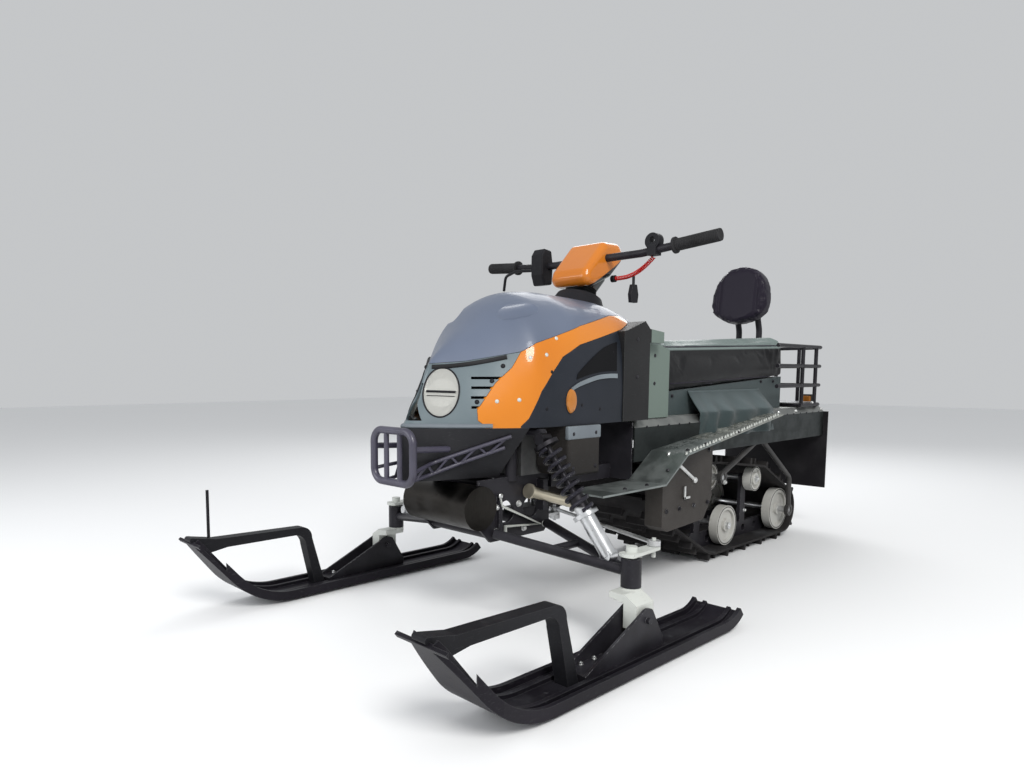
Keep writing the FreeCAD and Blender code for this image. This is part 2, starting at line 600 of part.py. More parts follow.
pitman = node(fused("pitman_arm", [pitman_ball, pitman_bar, pitman_plate, pitman_pin]))


def tie_rod(label, side, level):
    """A rod with an eye at each end, level with the arms it joins."""
    inner = spot("pitman_fore-steer_arm", "0", level)
    outer = spot("spindle_fore-steer_arm", "%d*kingpin_side" % side, level)
    line = (outer - inner).normalize()
    high = UP * (mm("rod_end_thick") / 2)
    pieces = [rod(label + "_eye_in", inner - high, inner + high, "rod_end_dia"),
              rod(label + "_eye_out", outer - high, outer + high, "rod_end_dia"),
              rod(label + "_bar", inner + line * 13, outer - line * 13, "rod_dia")]
    cuts = [rod(label + "_bore_in", inner - high * 3, inner + high * 3, "rod_pin"),
            rod(label + "_bore_out", outer - high * 3, outer + high * 3, "rod_pin")]
    return node(hollow(label, fused(label + "_solid", pieces), fused(label + "_bores", cuts)))


tie_rod("tie_rod_left", 1, "steer_arm_low+steer_arm_thick+rod_gap+rod_end_thick/2")
tie_rod("tie_rod_right", -1, "steer_arm_low-rod_gap-rod_end_thick/2")

# The handlebar, its grips and the padded pod over its middle.
across_bar = [bar_centre + V(-mm("grip_sweep"), -mm("bar_half"), mm("bar_rise")),
              bar_centre + V(0, -mm("bar_half") * 0.45, -mm("bar_dip")),
              bar_centre + V(0, mm("bar_half") * 0.45, -mm("bar_dip")),
              bar_centre + V(-mm("grip_sweep"), mm("bar_half"), mm("bar_rise"))]
handlebar = node(shaped("handlebar_tube", bent_tube(across_bar, 60, mm("bar_dia"))))


def grip(side):
    """One rubber grip over the end of the bar."""
    end = across_bar[3 if side > 0 else 0]
    inner = across_bar[2 if side > 0 else 1]
    line = (inner - end).normalize()
    start = end - line * 4
    finish = end + line * mm("grip_long")
    flange = rod("grip_flange_%d" % (side + 2), finish, finish + line * 6, "grip_dia+12")
    sleeve = rod("grip_sleeve_%d" % (side + 2), start, finish, "grip_dia")
    core = rod("grip_core_%d" % (side + 2), end, finish + line * 8, "bar_dia+2*pin_clear")
    return hollow("grip_%d" % (side + 2), fused("grip_solid_%d" % (side + 2), [sleeve, flange]), core)


node(grouped("grips", [grip(-1), grip(1)]))


# The pod over the middle of the handlebar: a shell with a low nose on a dark foot round the column.
pod_shell = side_plate("pod_shell",
                       [("pod_aft", "pod_top-52"), ("pod_aft+54", "pod_low+32"), ("pod_fore-44", "pod_low"),
                        ("pod_fore-12", "pod_low+4"), ("pod_fore", "pod_low+24"), ("pod_fore-8", "pod_low+48"),
                        ("pod_fore-90", "pod_top-2"), ("pod_aft+18", "pod_top"), ("pod_aft", "pod_top-20")],
                       "0", "pod_wide")
rounded(pod_shell, "20", in_side_face(mm("pod_wide/2")))
pod_foot = shaped("pod_foot_cone", Part.makeCone(44, 60, 40, up_column(mm("pod_foot")), column_line))
column_room = rod("column_room", up_column(mm("pod_foot") - 30), up_column(mm("bar_high")), "column_dia+2*pin_clear")
bar_room = shaped("bar_room", bent_tube(across_bar, 60, mm("bar_dia+2*pin_clear")))
pod = node(hollow("handlebar_pod", fused("pod_solid", [pod_shell, pod_foot]), fused("pod_rooms", [column_room, bar_room])))
column = node(hollow("steering_column_shaft", fused("column_solid", [column_bar, cup]), bar_room))

# The controls on the bar: the throttle's block and lever on the right, the stop switch on the left
# and the stud on the pod that the red stop cord runs to.
bar_x = bar_centre.x
block = side_plate("throttle_block",
                   [(bar_x - 16, "bar_high-58"), (bar_x + 22, "bar_high-62"), (bar_x + 34, "bar_high-30"),
                    (bar_x + 34, "bar_high+30"), (bar_x + 20, "bar_high+50"), (bar_x - 12, "bar_high+46"),
                    (bar_x - 20, "bar_high")], "-control_side", "48")
rounded(block, "7", lambda edge: all(abs(abs(vertex.Point.y + mm("control_side")) - 24) < 0.01 for vertex in edge.Vertexes))
lever_path = [V(bar_x + 26, -mm("control_side") - 20, mm("bar_high") - 14), V(bar_x + 34, -258, mm("bar_high") - 10),
              V(bar_x + 30, -306, mm("bar_high") - 22), V(bar_x + 8, -334, mm("bar_high") - 62)]
lever = shaped("throttle_lever", bent_tube(lever_path, 30, 9))
stop_base = box("stop_base", (str(bar_x - 15), "stop_side-13", "bar_high-14"), (str(bar_x + 15), "stop_side+13", "stop_high-10"))
stop_ring = rod("stop_ring", V(bar_x - 12, mm("stop_side"), mm("stop_high")), V(bar_x + 12, mm("stop_side"), mm("stop_high")), "44")
stop_hole = rod("stop_hole", V(bar_x - 20, mm("stop_side"), mm("stop_high") + 3), V(bar_x + 20, mm("stop_side"), mm("stop_high") + 3), "17")
stop_stud = rod("stop_stud", V(bar_x - 24, mm("pod_wide/2+pin_clear"), 902), V(bar_x - 24, mm("pod_wide/2") + 12, 902), "20")
controls = grouped("controls_solid", [fused("throttle_solid", [block, lever]),
                                      hollow("stop_solid", fused("stop_whole", [stop_base, stop_ring]), stop_hole), stop_stud])

# The coiled stop cord between switch and stud, as one tube of its outer size, and the fob that hangs from it.
cord_route = [V(bar_x - 2, mm("stop_side") - 2, mm("bar_high") - 17.5), V(bar_x - 4, 200, mm("bar_high") - 32),
              V(bar_x - 8, 172, mm("bar_high") - 48), V(bar_x - 14, 143, mm("bar_high") - 57),
              V(bar_x - 20, 114, mm("bar_high") - 61), V(bar_x - 24, mm("pod_wide/2") + 12.3, 902)]
cord_edges = []
cord_length = 0
here = cord_route[0]
for before, corner, after in zip(cord_route, cord_route[1:], cord_route[2:]):
    inwards = (corner - before).normalize()
    outwards = (after - corner).normalize()
    half_turn = math.acos(max(-1, min(1, inwards.dot(outwards)))) / 2
    shorter = min((corner - before).Length, (after - corner).Length)
    bend = 0.45 * shorter / math.tan(half_turn)
    print("cord radius", round(bend, 1), "turn", round(math.degrees(2 * half_turn), 1))
    start = corner - inwards * (0.45 * shorter)
    finish = corner + outwards * (0.45 * shorter)
    middle = corner + (outwards - inwards).normalize() * (bend / math.cos(half_turn) - bend)
    cord_edges.append(Part.LineSegment(here, start).toShape())
    cord_edges.append(Part.Arc(start, middle, finish).toShape())
    here = finish
cord_edges.append(Part.LineSegment(here, cord_route[-1]).toShape())
cord_wire = Part.Wire(cord_edges)
cord_start = Part.Wire([Part.Circle(cord_route[0], (cord_route[1] - cord_route[0]).normalize(), mm("tether_dia") / 2).toShape()])
cord_tube = cord_wire.makePipeShell([cord_start], True, False)
print("cord length", round(cord_wire.Length, 1), "volume", round(cord_tube.Volume),
      "section by length", round(cord_wire.Length * math.pi * mm("tether_dia") ** 2 / 4))
node(shaped("tether_cord", cord_tube))
room_ring = Part.Circle(cord_route[0], (cord_route[1] - cord_route[0]).normalize(), mm("tether_dia/2+pin_clear"))
cord_room = shaped("cord_room", cord_wire.makePipeShell([Part.Wire([room_ring.toShape()])], True, False))
node(hollow("bar_controls", controls, fused("control_rooms", [bar_room, cord_room])))
fob_x = bar_x - 14
fob_plate = side_plate("fob_plate",
                       [(fob_x - 14, "828"), (fob_x + 14, "828"), (fob_x + 18, "850"), (fob_x + 10, "878"), (fob_x - 10, "878"),
                        (fob_x - 18, "850")], "148", "11")
fob_strap = box("fob_strap", (str(fob_x - 4), "146", "870"), (str(fob_x + 4), "150", "bar_high-60"))
node(hollow("tether_fob", fused("fob_solid", [fob_plate, fob_strap]), cord_room))

# The belt: one closed loop round its wheels, with a row of lugs at each pitch.
ground_to_belt = mm("lug_high+track_thick")
loop_wheels = [(mm("rear_wheel_fore"), ground_to_belt + mm("rear_wheel"), mm("rear_wheel")),
               (mm("front_bend_fore"), ground_to_belt + mm("front_bend"), mm("front_bend")),
               (mm("sprocket_fore"), mm("sprocket_high"), mm("sprocket")),
               (mm("carrier_front_fore"), mm("carrier_front_high"), mm("carrier_wheel")),
               (mm("carrier_rear_fore"), mm("carrier_rear_high"), mm("carrier_wheel"))]


def tangent_normals():
    """The outward normal of the belt on each straight run between two wheels."""
    normals = []
    for index, (x, z, radius) in enumerate(loop_wheels):
        next_x, next_z, next_radius = loop_wheels[(index + 1) % len(loop_wheels)]
        run = V(next_x - x, 0, next_z - z)
        line = V(run.x, 0, run.z).normalize()
        share = (radius - next_radius) / run.Length
        right = V(line.z, 0, -line.x)
        normals.append(line * share + right * math.sqrt(1 - share * share))
    return normals


def belt_wire(offset):
    """The loop's closed line at a distance outside its wheels."""
    normals = tangent_normals()
    points = []
    for index, (x, z, radius) in enumerate(loop_wheels):
        centre = V(x, 0, z)
        into = normals[index - 1]
        out = normals[index]
        middle = (into + out).normalize()
        points.append([centre + normal * (radius + offset) for normal in (into, middle, out)])
    edges = []
    for index, (start, middle, finish) in enumerate(points):
        edges.append(Part.Arc(start, middle, finish).toShape())
        edges.append(Part.LineSegment(finish, points[(index + 1) % len(points)][0]).toShape())
    return Part.Wire(edges)


def belt_band(inner, outer, wide):
    ring_face = Part.Face(belt_wire(outer)).cut(Part.Face(belt_wire(inner)))
    band = ring_face.extrude(ACROSS * wide)
    band.translate(ACROSS * (-wide / 2))
    return band


def lug(wire, place, side, wide):
    """One lug across part of the belt: a bar that narrows to its tip."""
    root = mm("lug_root")
    edge_at = wire.Length * 0
    for edge in wire.OrderedEdges:
        if place <= edge_at + edge.Length:
            break
        edge_at += edge.Length
    parameter = edge.getParameterByLength(place - edge_at)
    at = edge.valueAt(parameter)
    along_belt = edge.tangentAt(parameter)
    outwards = V(along_belt.z, 0, -along_belt.x)
    if outwards.dot(at - V(-450, 0, 190)) < 0:
        outwards = outwards * -1
    base = at - outwards * 2
    tip = at + outwards * mm("lug_high")
    corners = [base - along_belt * root, base + along_belt * root, tip + along_belt * (root * 0.45),
               tip - along_belt * (root * 0.45)]
    face = Part.Face(Part.makePolygon(corners + corners[:1]))
    bar = face.extrude(ACROSS * wide)
    bar.translate(ACROSS * (side - wide / 2))
    return bar


belt = belt_band(0, mm("track_thick"), mm("track_wide"))
outer_wire = belt_wire(mm("track_thick"))
lug_count = int(round(outer_wire.Length / mm("lug_pitch")))
lugs = []
for index in range(lug_count):
    place = (index + 0.5) * outer_wire.Length / lug_count
    row = [(-92, 118), (92, 118)] if index % 2 else [(0, 110), (-145, 42), (145, 42)]
    for side, wide in row:
        lugs.append(lug(outer_wire, place, side, wide))
node(shaped("track_belt", belt.fuse(lugs).removeSplitter()))

# The slide frame inside the belt: two rails, cross shafts, wheels and the struts up to the tunnel.
slider_low = mm("lug_high+track_thick+pin_clear")
bend_x = mm("front_bend_fore")
bend_z = ground_to_belt + mm("front_bend")
bend_outer = mm("front_bend-pin_clear")
bend_inner = mm("front_bend-rail_high")


def bend_point(radius, angle):
    return (bend_x + radius * math.sin(math.radians(angle)), bend_z - radius * math.cos(math.radians(angle)))


rail = side_plate("rail_bar",
                  [("rear_wheel_fore+8", slider_low + 8), ("rear_wheel_fore+30", slider_low),
                   ("front_bend_fore", slider_low), bend_point(bend_outer, 27) + bend_point(bend_outer, 14),
                   bend_point(bend_inner + 16, 30),
                   bend_point(bend_inner, 22),
                   ("front_bend_fore", bend_z - bend_inner) + bend_point(bend_inner, 11),
                   ("rear_wheel_fore+40", slider_low + mm("rail_high")),
                   ("rear_wheel_fore-22", slider_low + mm("rail_high") + 46),
                   ("rear_wheel_fore-22", slider_low + mm("rail_high") + 12)], "rail_side", "rail_thick",
                  [("front_bend_fore-%d" % (60 + 90 * index), slider_low + 26, "13") for index in range(5)])


def axle(label, x, z, half):
    return rod(label, V(x, -half, z), V(x, half, z), "axle_dia")


axle_places = [("rear", loop_wheels[0][0], loop_wheels[0][1], 186), ("bogie", -485, ground_to_belt + 70, 150),
               ("carrier_front", loop_wheels[3][0], loop_wheels[3][1], 186),
               ("carrier_rear", loop_wheels[4][0], loop_wheels[4][1], 150)]
axles = [axle("axle_" + name, x, z, half) for name, x, z, half in axle_places]
skid_axles = node(grouped("skid_axles", axles))
axle_rooms = grouped("axle_rooms", [rod("room_" + name, V(x, -200, z), V(x, 200, z), "axle_dia+2*pin_clear")
                                    for name, x, z, half in axle_places])
rail_links = []
for name, x, z, half in axle_places[2:]:
    rail_links.append(side_plate("rail_link_" + name,
                                 [(x - 20, slider_low + mm("rail_high") - 6), (x + 20, slider_low + mm("rail_high") - 6),
                                  (x + 17, z), (x - 17, z, x, z + 17)], "rail_side", "rail_thick"))
rail_left = hollow("rail_left", fused("rail_solid", [rail] + rail_links), axle_rooms)
node(grouped("slide_rails", [rail_left, mirrored("rail_right", rail_left)]))


def wheel(label, x, z, radius, side, wide):
    """A rubber-tyred idler wheel with a recessed web and a bore for its axle."""
    rim = rod(label + "_rim", V(x, side - wide / 2, z), V(x, side + wide / 2, z), str(2 * radius))
    recess = []
    for sign in (-1, 1):
        recess.append(rod(label + "_recess_%d" % (sign + 2), V(x, side + sign * wide * 0.22, z),
                          V(x, side + sign * wide, z), str(2 * radius * 0.78)))
    hub = rod(label + "_hub", V(x, side - wide / 2, z), V(x, side + wide / 2, z), "axle_dia+22")
    bore = rod(label + "_bore", V(x, side - wide, z), V(x, side + wide, z), "axle_dia+2*pin_clear")
    dished = hollow(label + "_dish", rim, fused(label + "_recesses", recess))
    return hollow(label, fused(label + "_solid", [dished, hub]), bore)


wheels = []
clear = mm("pin_clear")
for sign in (-1, 1):
    tag = "left" if sign > 0 else "right"
    wheels.append(wheel("rear_idler_" + tag, loop_wheels[0][0], loop_wheels[0][1], mm("rear_wheel") - clear,
                        sign * 130, mm("wheel_wide")))
    wheels.append(wheel("bogie_" + tag, -485, ground_to_belt + 70, 70 - clear, sign * 125, mm("wheel_wide")))
    wheels.append(wheel("carrier_front_wheel_" + tag, loop_wheels[3][0], loop_wheels[3][1],
                        mm("carrier_wheel") - clear, sign * 130, mm("wheel_wide")))
    wheels.append(wheel("carrier_rear_wheel_" + tag, loop_wheels[4][0], loop_wheels[4][1],
                        mm("carrier_wheel") - clear, sign * 130, mm("wheel_wide")))
node(grouped("idler_wheels", wheels))

drive_x = mm("sprocket_fore")
drive_z = mm("sprocket_high")
drive_parts = [axle("drive_shaft", drive_x, drive_z, mm("tunnel_half"))]
for sign in (-1, 1):
    teeth = body("drive_wheel_%d" % (sign + 2))
    drawing = sketch(teeth, "XZ_Plane", str(-sign * 80))
    ring(drawing, str(drive_x), str(drive_z), "sprocket-pin_clear")
    for step in range(6):
        turn = math.radians(60 * step)
        ring(drawing, str(drive_x + 44 * math.cos(turn)), str(drive_z + 44 * math.sin(turn)), "14")
    pad(teeth, drawing, "22")
    drive_parts.append(teeth)
node(fused("drive_sprockets", drive_parts))

struts = []
for sign in (-1, 1):
    strut_side = sign * mm("tunnel_half-tunnel_sheet-strut_dia/2-pin_clear")
    path = [V(loop_wheels[3][0], strut_side, loop_wheels[3][1] + 14), V(mm("strut_apex_fore"), strut_side, mm("strut_apex")),
            V(loop_wheels[0][0] + 4, strut_side, 236), V(loop_wheels[0][0], strut_side, loop_wheels[0][1] + 14)]
    struts.append(shaped("strut_%d" % (sign + 2), bent_tube(path, 26, mm("strut_dia"))))
    for x, z in (loop_wheels[0][:2], loop_wheels[3][:2]):
        struts.append(rod("strut_eye_%d_%d" % (sign + 2, -x), V(x, strut_side - 7, z), V(x, strut_side + 7, z), "44"))
strut_pair = hollow("skid_struts", fused("strut_solids", struts), axle_rooms)
node(strut_pair)

# The tunnel: a folded sheet over the belt, with bevelled shoulders.
inner_half = "tunnel_half-tunnel_sheet"
inner_top = "tunnel_top-tunnel_sheet"
tunnel = cross_plate("tunnel",
                     [("-tunnel_half", "tunnel_top-tunnel_skirt"), ("-(%s)" % inner_half, "tunnel_top-tunnel_skirt"),
                      ("-(%s)" % inner_half, "tunnel_top-tunnel_shoulder-1"),
                      ("-(tunnel_half-tunnel_shoulder-1)", inner_top), ("tunnel_half-tunnel_shoulder-1", inner_top),
                      (inner_half, "tunnel_top-tunnel_shoulder-1"), (inner_half, "tunnel_top-tunnel_skirt"),
                      ("tunnel_half", "tunnel_top-tunnel_skirt"), ("tunnel_half", "tunnel_top-tunnel_shoulder"),
                      ("tunnel_half-tunnel_shoulder", "tunnel_top"), ("-(tunnel_half-tunnel_shoulder)", "tunnel_top"),
                      ("-tunnel_half", "tunnel_top-tunnel_shoulder")],
                     "(tunnel_fore+tunnel_aft)/2", "tunnel_fore-tunnel_aft")
node(tunnel)

# The running boards: a toe plate low down in front, a ramp, and a perforated board rising to the rear.
board_in = "(tunnel_half+pin_clear)"
board_mid = "(%s+board_out_fore)/2" % board_in
board_top = [("board_toe_fore", "board_toe_high"), ("board_toe_aft", "board_toe_high"),
             ("board_rise_fore", "board_rise_high"), ("board_aft", "board_aft_high")]
board_low = [(x, "%s-board_thick" % z) for x, z in reversed(board_top)]
board = body("footboard_left")
drawing = sketch(board, "XZ_Plane", "-(%s)" % board_mid)
outline(drawing, board_top + board_low)
pad(board, drawing, "board_out_fore-" + board_in)
cutting = sketch(board, "XY_Plane", "board_rise_high")
outline(cutting, [("board_rise_fore", "board_out_fore+1"), ("board_aft-1", "board_out_aft"),
                  ("board_aft-1", "board_out_fore+1")])
pocket(board, cutting, "400")
slots = sketch(board, "XY_Plane", "board_rise_high")
for side in (216, 238):
    outline(slots, [("board_rise_fore-slot_pitch", side - 6), ("board_rise_fore-slot_pitch", side + 6),
                    ("board_rise_fore-slot_pitch-slot_long", side + 6),
                    ("board_rise_fore-slot_pitch-slot_long", side - 6)])
slot_cut = pocket(board, slots, "400")
slot_count = int(mm("board_rise_fore-board_aft") / mm("slot_pitch")) - 1
repeated(board, slot_cut, slots, "slot_pitch*%d" % (slot_count - 1), slot_count)
node(grouped("footboards", [board, mirrored("footboard_right", board)]))

guard_side = "(%s+guard_out)/2" % board_in
guard = side_plate("side_guard_left",
                   [("120", "196"), ("120", "board_toe_high+20"), ("board_rise_fore-6", "board_rise_high-14"),
                    ("-155", "board_rise_high+18"), ("-155", "250"), ("-110", "190"),
                    ("90", "180")], guard_side, "guard_out-" + board_in)
node(grouped("side_guards", [guard, mirrored("side_guard_right", guard)]))

# The front frame: side plates joined by tubes, with posts up to the tube that carries the shocks.
frame_parts = []
for sign in (-1, 1):
    frame_parts.append(side_plate("frame_plate_%d" % (sign + 2),
                                  [("frame_aft", "frame_low+20"), ("frame_aft+20", "frame_low"),
                                   ("frame_fore-40", "frame_low"), ("frame_fore", "frame_low+40"),
                                   ("frame_fore", "frame_high"), ("frame_aft", "frame_high")],
                                  "%d*frame_half" % sign, "frame_sheet",
                                  [("frame_aft+75", "285", "28"), ("frame_fore-95", "285", "28")]))
    frame_parts.append(rod("frame_post_%d" % (sign + 2), spot("shock_top_fore", "%d*frame_half" % sign, "frame_high-10"),
                           spot("shock_top_fore", "%d*frame_half" % sign, "shock_top_high+10"), "frame_tube"))
for label, x, z in (("low_rear", "frame_aft+30", "frame_low+22"), ("low_front", "frame_fore-45", "frame_low+22"),
                    ("high_rear", "frame_aft+20", "frame_high-22"), ("high_front", "frame_fore-85", "frame_high-22")):
    frame_parts.append(rod("frame_tube_" + label, spot(x, "-frame_half", z), spot(x, "frame_half", z), "frame_tube"))
frame_parts.append(rod("shock_tube", spot("shock_top_fore", "-shock_top_side-8", "shock_top_high+10"),
                       spot("shock_top_fore", "shock_top_side+8", "shock_top_high+10"), "frame_tube*0.6"))
steer_block = box("steer_block", ("pitman_fore-26", "-26", "236"), ("frame_aft+32", "26", "264"))
frame_parts.append(steer_block)
backbone = [box("backbone_%d" % (sign + 2), ("tunnel_fore+pin_clear", "%d*frame_half-14" % sign, "frame_high-40"),
                ("frame_aft+4", "%d*frame_half+14" % sign, "frame_high")) for sign in (-1, 1)]
front_wall = box("front_wall", ("tunnel_fore+pin_clear", "-(tunnel_half-6)", "frame_high-40"),
                 ("tunnel_fore+pin_clear+4", "tunnel_half-6", "tunnel_top-6"))
for sign in (-1, 1):
    frame_parts.append(box("frame_rib_%d" % (sign + 2), ("frame_fore-74", "%d*(frame_half+7)-5" % sign, "frame_low+17"),
                           ("frame_fore-62", "%d*(frame_half+7)+5" % sign, "frame_high-40")))
    frame_parts.append(box("pipe_bracket_%d" % (sign + 2), ("frame_aft+34", "%d*(frame_half+14)-13" % sign, "frame_low+62"),
                           ("frame_aft+50", "%d*(frame_half+14)+13" % sign, "frame_high-14")))
frame_solid = fused("frame_solid", frame_parts + backbone + [front_wall])
silencer_can = rod("silencer_can", spot("silencer_fore", "-silencer_half", "silencer_level"),
                   spot("silencer_fore", "silencer_half", "silencer_level"), "silencer_dia")
silencer_room = rod("silencer_room", spot("silencer_fore", "-silencer_half-30", "silencer_level"),
                    spot("silencer_fore", "silencer_half+30", "silencer_level"), "silencer_dia+2*pin_clear")
pipe_ends = (spot("frame_aft+105", "pipe_side", "frame_high-38"), spot("frame_aft-95", "pipe_side", "frame_high-97"))
pipe = rod("exhaust_pipe", pipe_ends[0], pipe_ends[1], "pipe_dia")
pipe_line = (pipe_ends[1] - pipe_ends[0]).normalize()
pipe_bore = rod("exhaust_bore", pipe_ends[1] - pipe_line * 30, pipe_ends[1] + pipe_line * 4, "pipe_dia-6")
pipe_rim = rod("exhaust_rim", pipe_ends[0], pipe_ends[0] + pipe_line * 9, "pipe_dia+10")
pipe_room = rod("exhaust_room", pipe_ends[0] - pipe_line * 20, pipe_ends[1] + pipe_line * 20, "pipe_dia+2*pin_clear")
pitman_room = rod("pitman_room", spot("pitman_fore", "0", "180"), spot("pitman_fore", "0", "320"),
                  "column_dia+2*pin_clear")
shock_rooms = fused("shock_rooms", [shock_left, shock_right])
frame = node(hollow("front_frame", frame_solid, fused("frame_rooms", [pitman_room, shock_rooms, silencer_room, pipe_room])))

engine = box("engine_block", ("engine_aft", "-engine_half", "engine_low"), ("engine_fore", "engine_half", "engine_high"))
node(engine)
exhaust = hollow("exhaust_solid", fused("exhaust_whole", [pipe, pipe_rim]), pipe_bore)
node(grouped("silencer", [silencer_can, exhaust]))

# The belly pan: a hull under the nose, open above, that narrows downwards.
pan_stations = {"top": (("pan_nose-4", "10"), ("lip_x", "lip_half+3"), ("brow_x", "brow_half+2"), ("cheek_x", "cheek_half+2"),
                        ("pan_aft", "tower_half-11")),
                "low": (("pan_nose", "6"), ("lip_x", "26"), ("brow_x", "40"), ("cheek_x", "62"), ("pan_aft", "90"))}


def hull_section(owner, level, row, wall):
    """A level section of the pan, drawn in by a wall."""
    half_plan = [("%s-(%s)" % (x, wall) if place == 0 else x, "%s-(%s)*1.2" % (y, wall) if place else y)
                 for place, (x, y) in enumerate(row)]
    drawing = sketch(owner, "XY_Plane", level)
    outline(drawing, half_plan + [(x, "-(%s)" % y) for x, y in reversed(half_plan)])
    return drawing


def hull(label, low, high, wall):
    made = body(label)
    sections = [hull_section(made, low, pan_stations["low"], wall), hull_section(made, high, pan_stations["top"], wall)]
    loft = made.newObject("PartDesign::AdditiveLoft", label + "_loft")
    loft.Profile = sections[0]
    loft.Sections = [sections[1]]
    loft.Ruled = True
    doc.recompute()
    return made


def hull_side(x, z):
    """The pan's half width at a place and a height."""
    share = (z - mm("pan_low")) / mm("pan_top-pan_low")
    halves = []
    for row in (pan_stations["low"], pan_stations["top"]):
        points = sorted((mm(at), mm(half)) for at, half in row)
        for (x0, y0), (x1, y1) in zip(points, points[1:]):
            if x0 <= x <= x1:
                halves.append(y0 + (y1 - y0) * (x - x0) / (x1 - x0))
                break
    return halves[0] + (halves[1] - halves[0]) * share


pan_outer = hull("pan_outer", "pan_low", "pan_top", "0")
pan_inner = hull("pan_inner", "pan_low+pan_wall", "pan_top+4", "pan_wall")
node(hollow("belly_pan", pan_outer, pan_inner))

# The bumper: a hoop of tube ahead of the nose with upright bars, and a latticed guard along each side of the pan.
low_middle = spot("bumper_fore", "0", "bumper_low")
hoop = [spot("bumper_fore", side, level) for side, level in (("-bumper_half", "bumper_low"), ("-bumper_half", "bumper_high"),
                                                             ("bumper_half", "bumper_high"), ("bumper_half", "bumper_low"))]
bumper_parts = [shaped("bumper_hoop", bent_tube([low_middle] + hoop + [low_middle], 30, mm("bumper_dia")))]
for number, side in enumerate((-25, 25)):
    bumper_parts.append(rod("bumper_bar_%d" % number, spot("bumper_fore", side, "bumper_low"),
                            spot("bumper_fore", side, "bumper_high"), "bumper_dia*0.7"))
for sign in (-1, 1):
    rails = []
    for level, start_side in ((0, "bumper_half-34"), (28, "bumper_half-1")):
        rail_points = [spot("bumper_fore", "%d*(%s)" % (sign, start_side), "bumper_low+%d" % level)]
        for x, z in ((795, 388), (725, 418), (648, 452)):
            rail_points.append(V(x, sign * (hull_side(x, z + level) + 6.5), z + level))
        rails.append(rail_points)
        bumper_parts.append(shaped("guard_rail_%d_%d" % (sign + 2, level), bent_tube(rail_points, 30, mm("guard_dia"))))
    steps = 7
    for step in range(steps):
        ends = []
        for rail_points, share in ((rails[step % 2], 0.14 + (step + 0.1) * 0.12), (rails[(step + 1) % 2], 0.14 + (step + 0.9) * 0.12)):
            place = share * (len(rail_points) - 1)
            leg = int(place)
            ends.append(rail_points[leg] + (rail_points[leg + 1] - rail_points[leg]) * (place - leg))
        bumper_parts.append(rod("guard_lattice_%d_%d" % (sign + 2, step), ends[0], ends[1], "guard_dia*0.7"))
    bumper_parts.append(rod("bumper_leg_%d" % (sign + 2), spot("bumper_fore", "%d*bumper_half" % sign, "bumper_high-40"),
                            spot("brow_x", "%d*(bumper_half-8)" % sign, "bumper_high-46"), "bumper_dia*0.8"))
node(hollow("front_bumper", fused("bumper_solid", bumper_parts), pan_outer))

# The body skin: one closed surface through the stations, hollowed and parted into panels along seams.
def eased(field, x):
    """A station value at any place, by a monotone cubic between the stations."""
    places = [-mm(name + "_x") for name in stations]
    values = [mm("%s_%s" % (name, field)) for name in stations]
    last = len(places) - 1
    rise = [(values[i + 1] - values[i]) / (places[i + 1] - places[i]) for i in range(last)]
    slope = [rise[0]]
    for before, after in zip(rise, rise[1:]):
        slope.append(0 if before * after <= 0 else 2 * before * after / (before + after))
    slope.append(rise[-1])
    at = max([0] + [i for i in range(last) if places[i] <= -x + 1e-9])
    run = places[at + 1] - places[at]
    t = (-x - places[at]) / run
    return ((2 * t ** 3 - 3 * t * t + 1) * values[at] + (t ** 3 - 2 * t * t + t) * run * slope[at]
            + (3 * t * t - 2 * t ** 3) * values[at + 1] + (t ** 3 - t * t) * run * slope[at + 1])


def skin_solid(inset, low, rear):
    """The space inside the skin, drawn in by its wall where that lies and back where it faces forwards."""
    rows = []
    steps = 25
    for step in range(steps + 1):
        share = step / steps
        x = mm("nose_x") - mm("nose_x-rear_x") * (0.55 * share + 0.45 * share * share)
        size = {field: eased(field, x) for field in station_fields[1:]}
        sides = inset * (1 - size["lean"])
        back = x - 1.6 * inset * size["lean"] - rear * share ** 6
        half = [V(back, size["half"] - sides, low), V(back, size["middle"] - sides, size["middle_z"]),
                V(back, size["shoulder"] - sides, size["shoulder_z"] - sides * 0.7),
                V(back, size["crest"] - sides * 0.5, size["crest_z"] - sides), V(back, 0, size["top"] - sides)]
        curve = Part.BSplineCurve()
        curve.interpolate([V(point.x, -point.y, point.z) for point in half] + half[-2::-1])
        reach = curve.LastParameter
        rows.append([curve.value(reach * number / 16) for number in range(17)])
    surface = Part.BSplineSurface()
    surface.interpolate(rows)
    cover = surface.toShape()
    closing = []
    for row in (rows[0], rows[-1]):
        rib = [edge for edge in cover.Edges
               if all(min((end.Point - row[0]).Length, (end.Point - row[-1]).Length) < 1e-4 for end in edge.Vertexes)]
        closing.append(Part.Face(Part.Wire([rib[0], Part.LineSegment(row[-1], row[0]).toShape()])))
    rims = [edge for edge in cover.Edges if all(abs(end.Point.z - low) < 1e-6 for end in edge.Vertexes)
            and abs(edge.Vertexes[0].Point.x - edge.Vertexes[1].Point.x) > 100]
    rims += [Part.LineSegment(row[-1], row[0]).toShape() for row in (rows[0], rows[-1])]
    shell = Part.makeShell([cover, Part.Face(Part.Wire(Part.__sortEdges__(rims)))] + closing)
    shell.sewShape()
    made = Part.makeSolid(shell)
    if made.Volume < 0:
        made.reverse()
    return made


outer_skin = skin_solid(0, mm("skin_low"), 0)
inner_skin = skin_solid(mm("skin_thick"), mm("skin_low-skin_room"), mm("skin_room"))

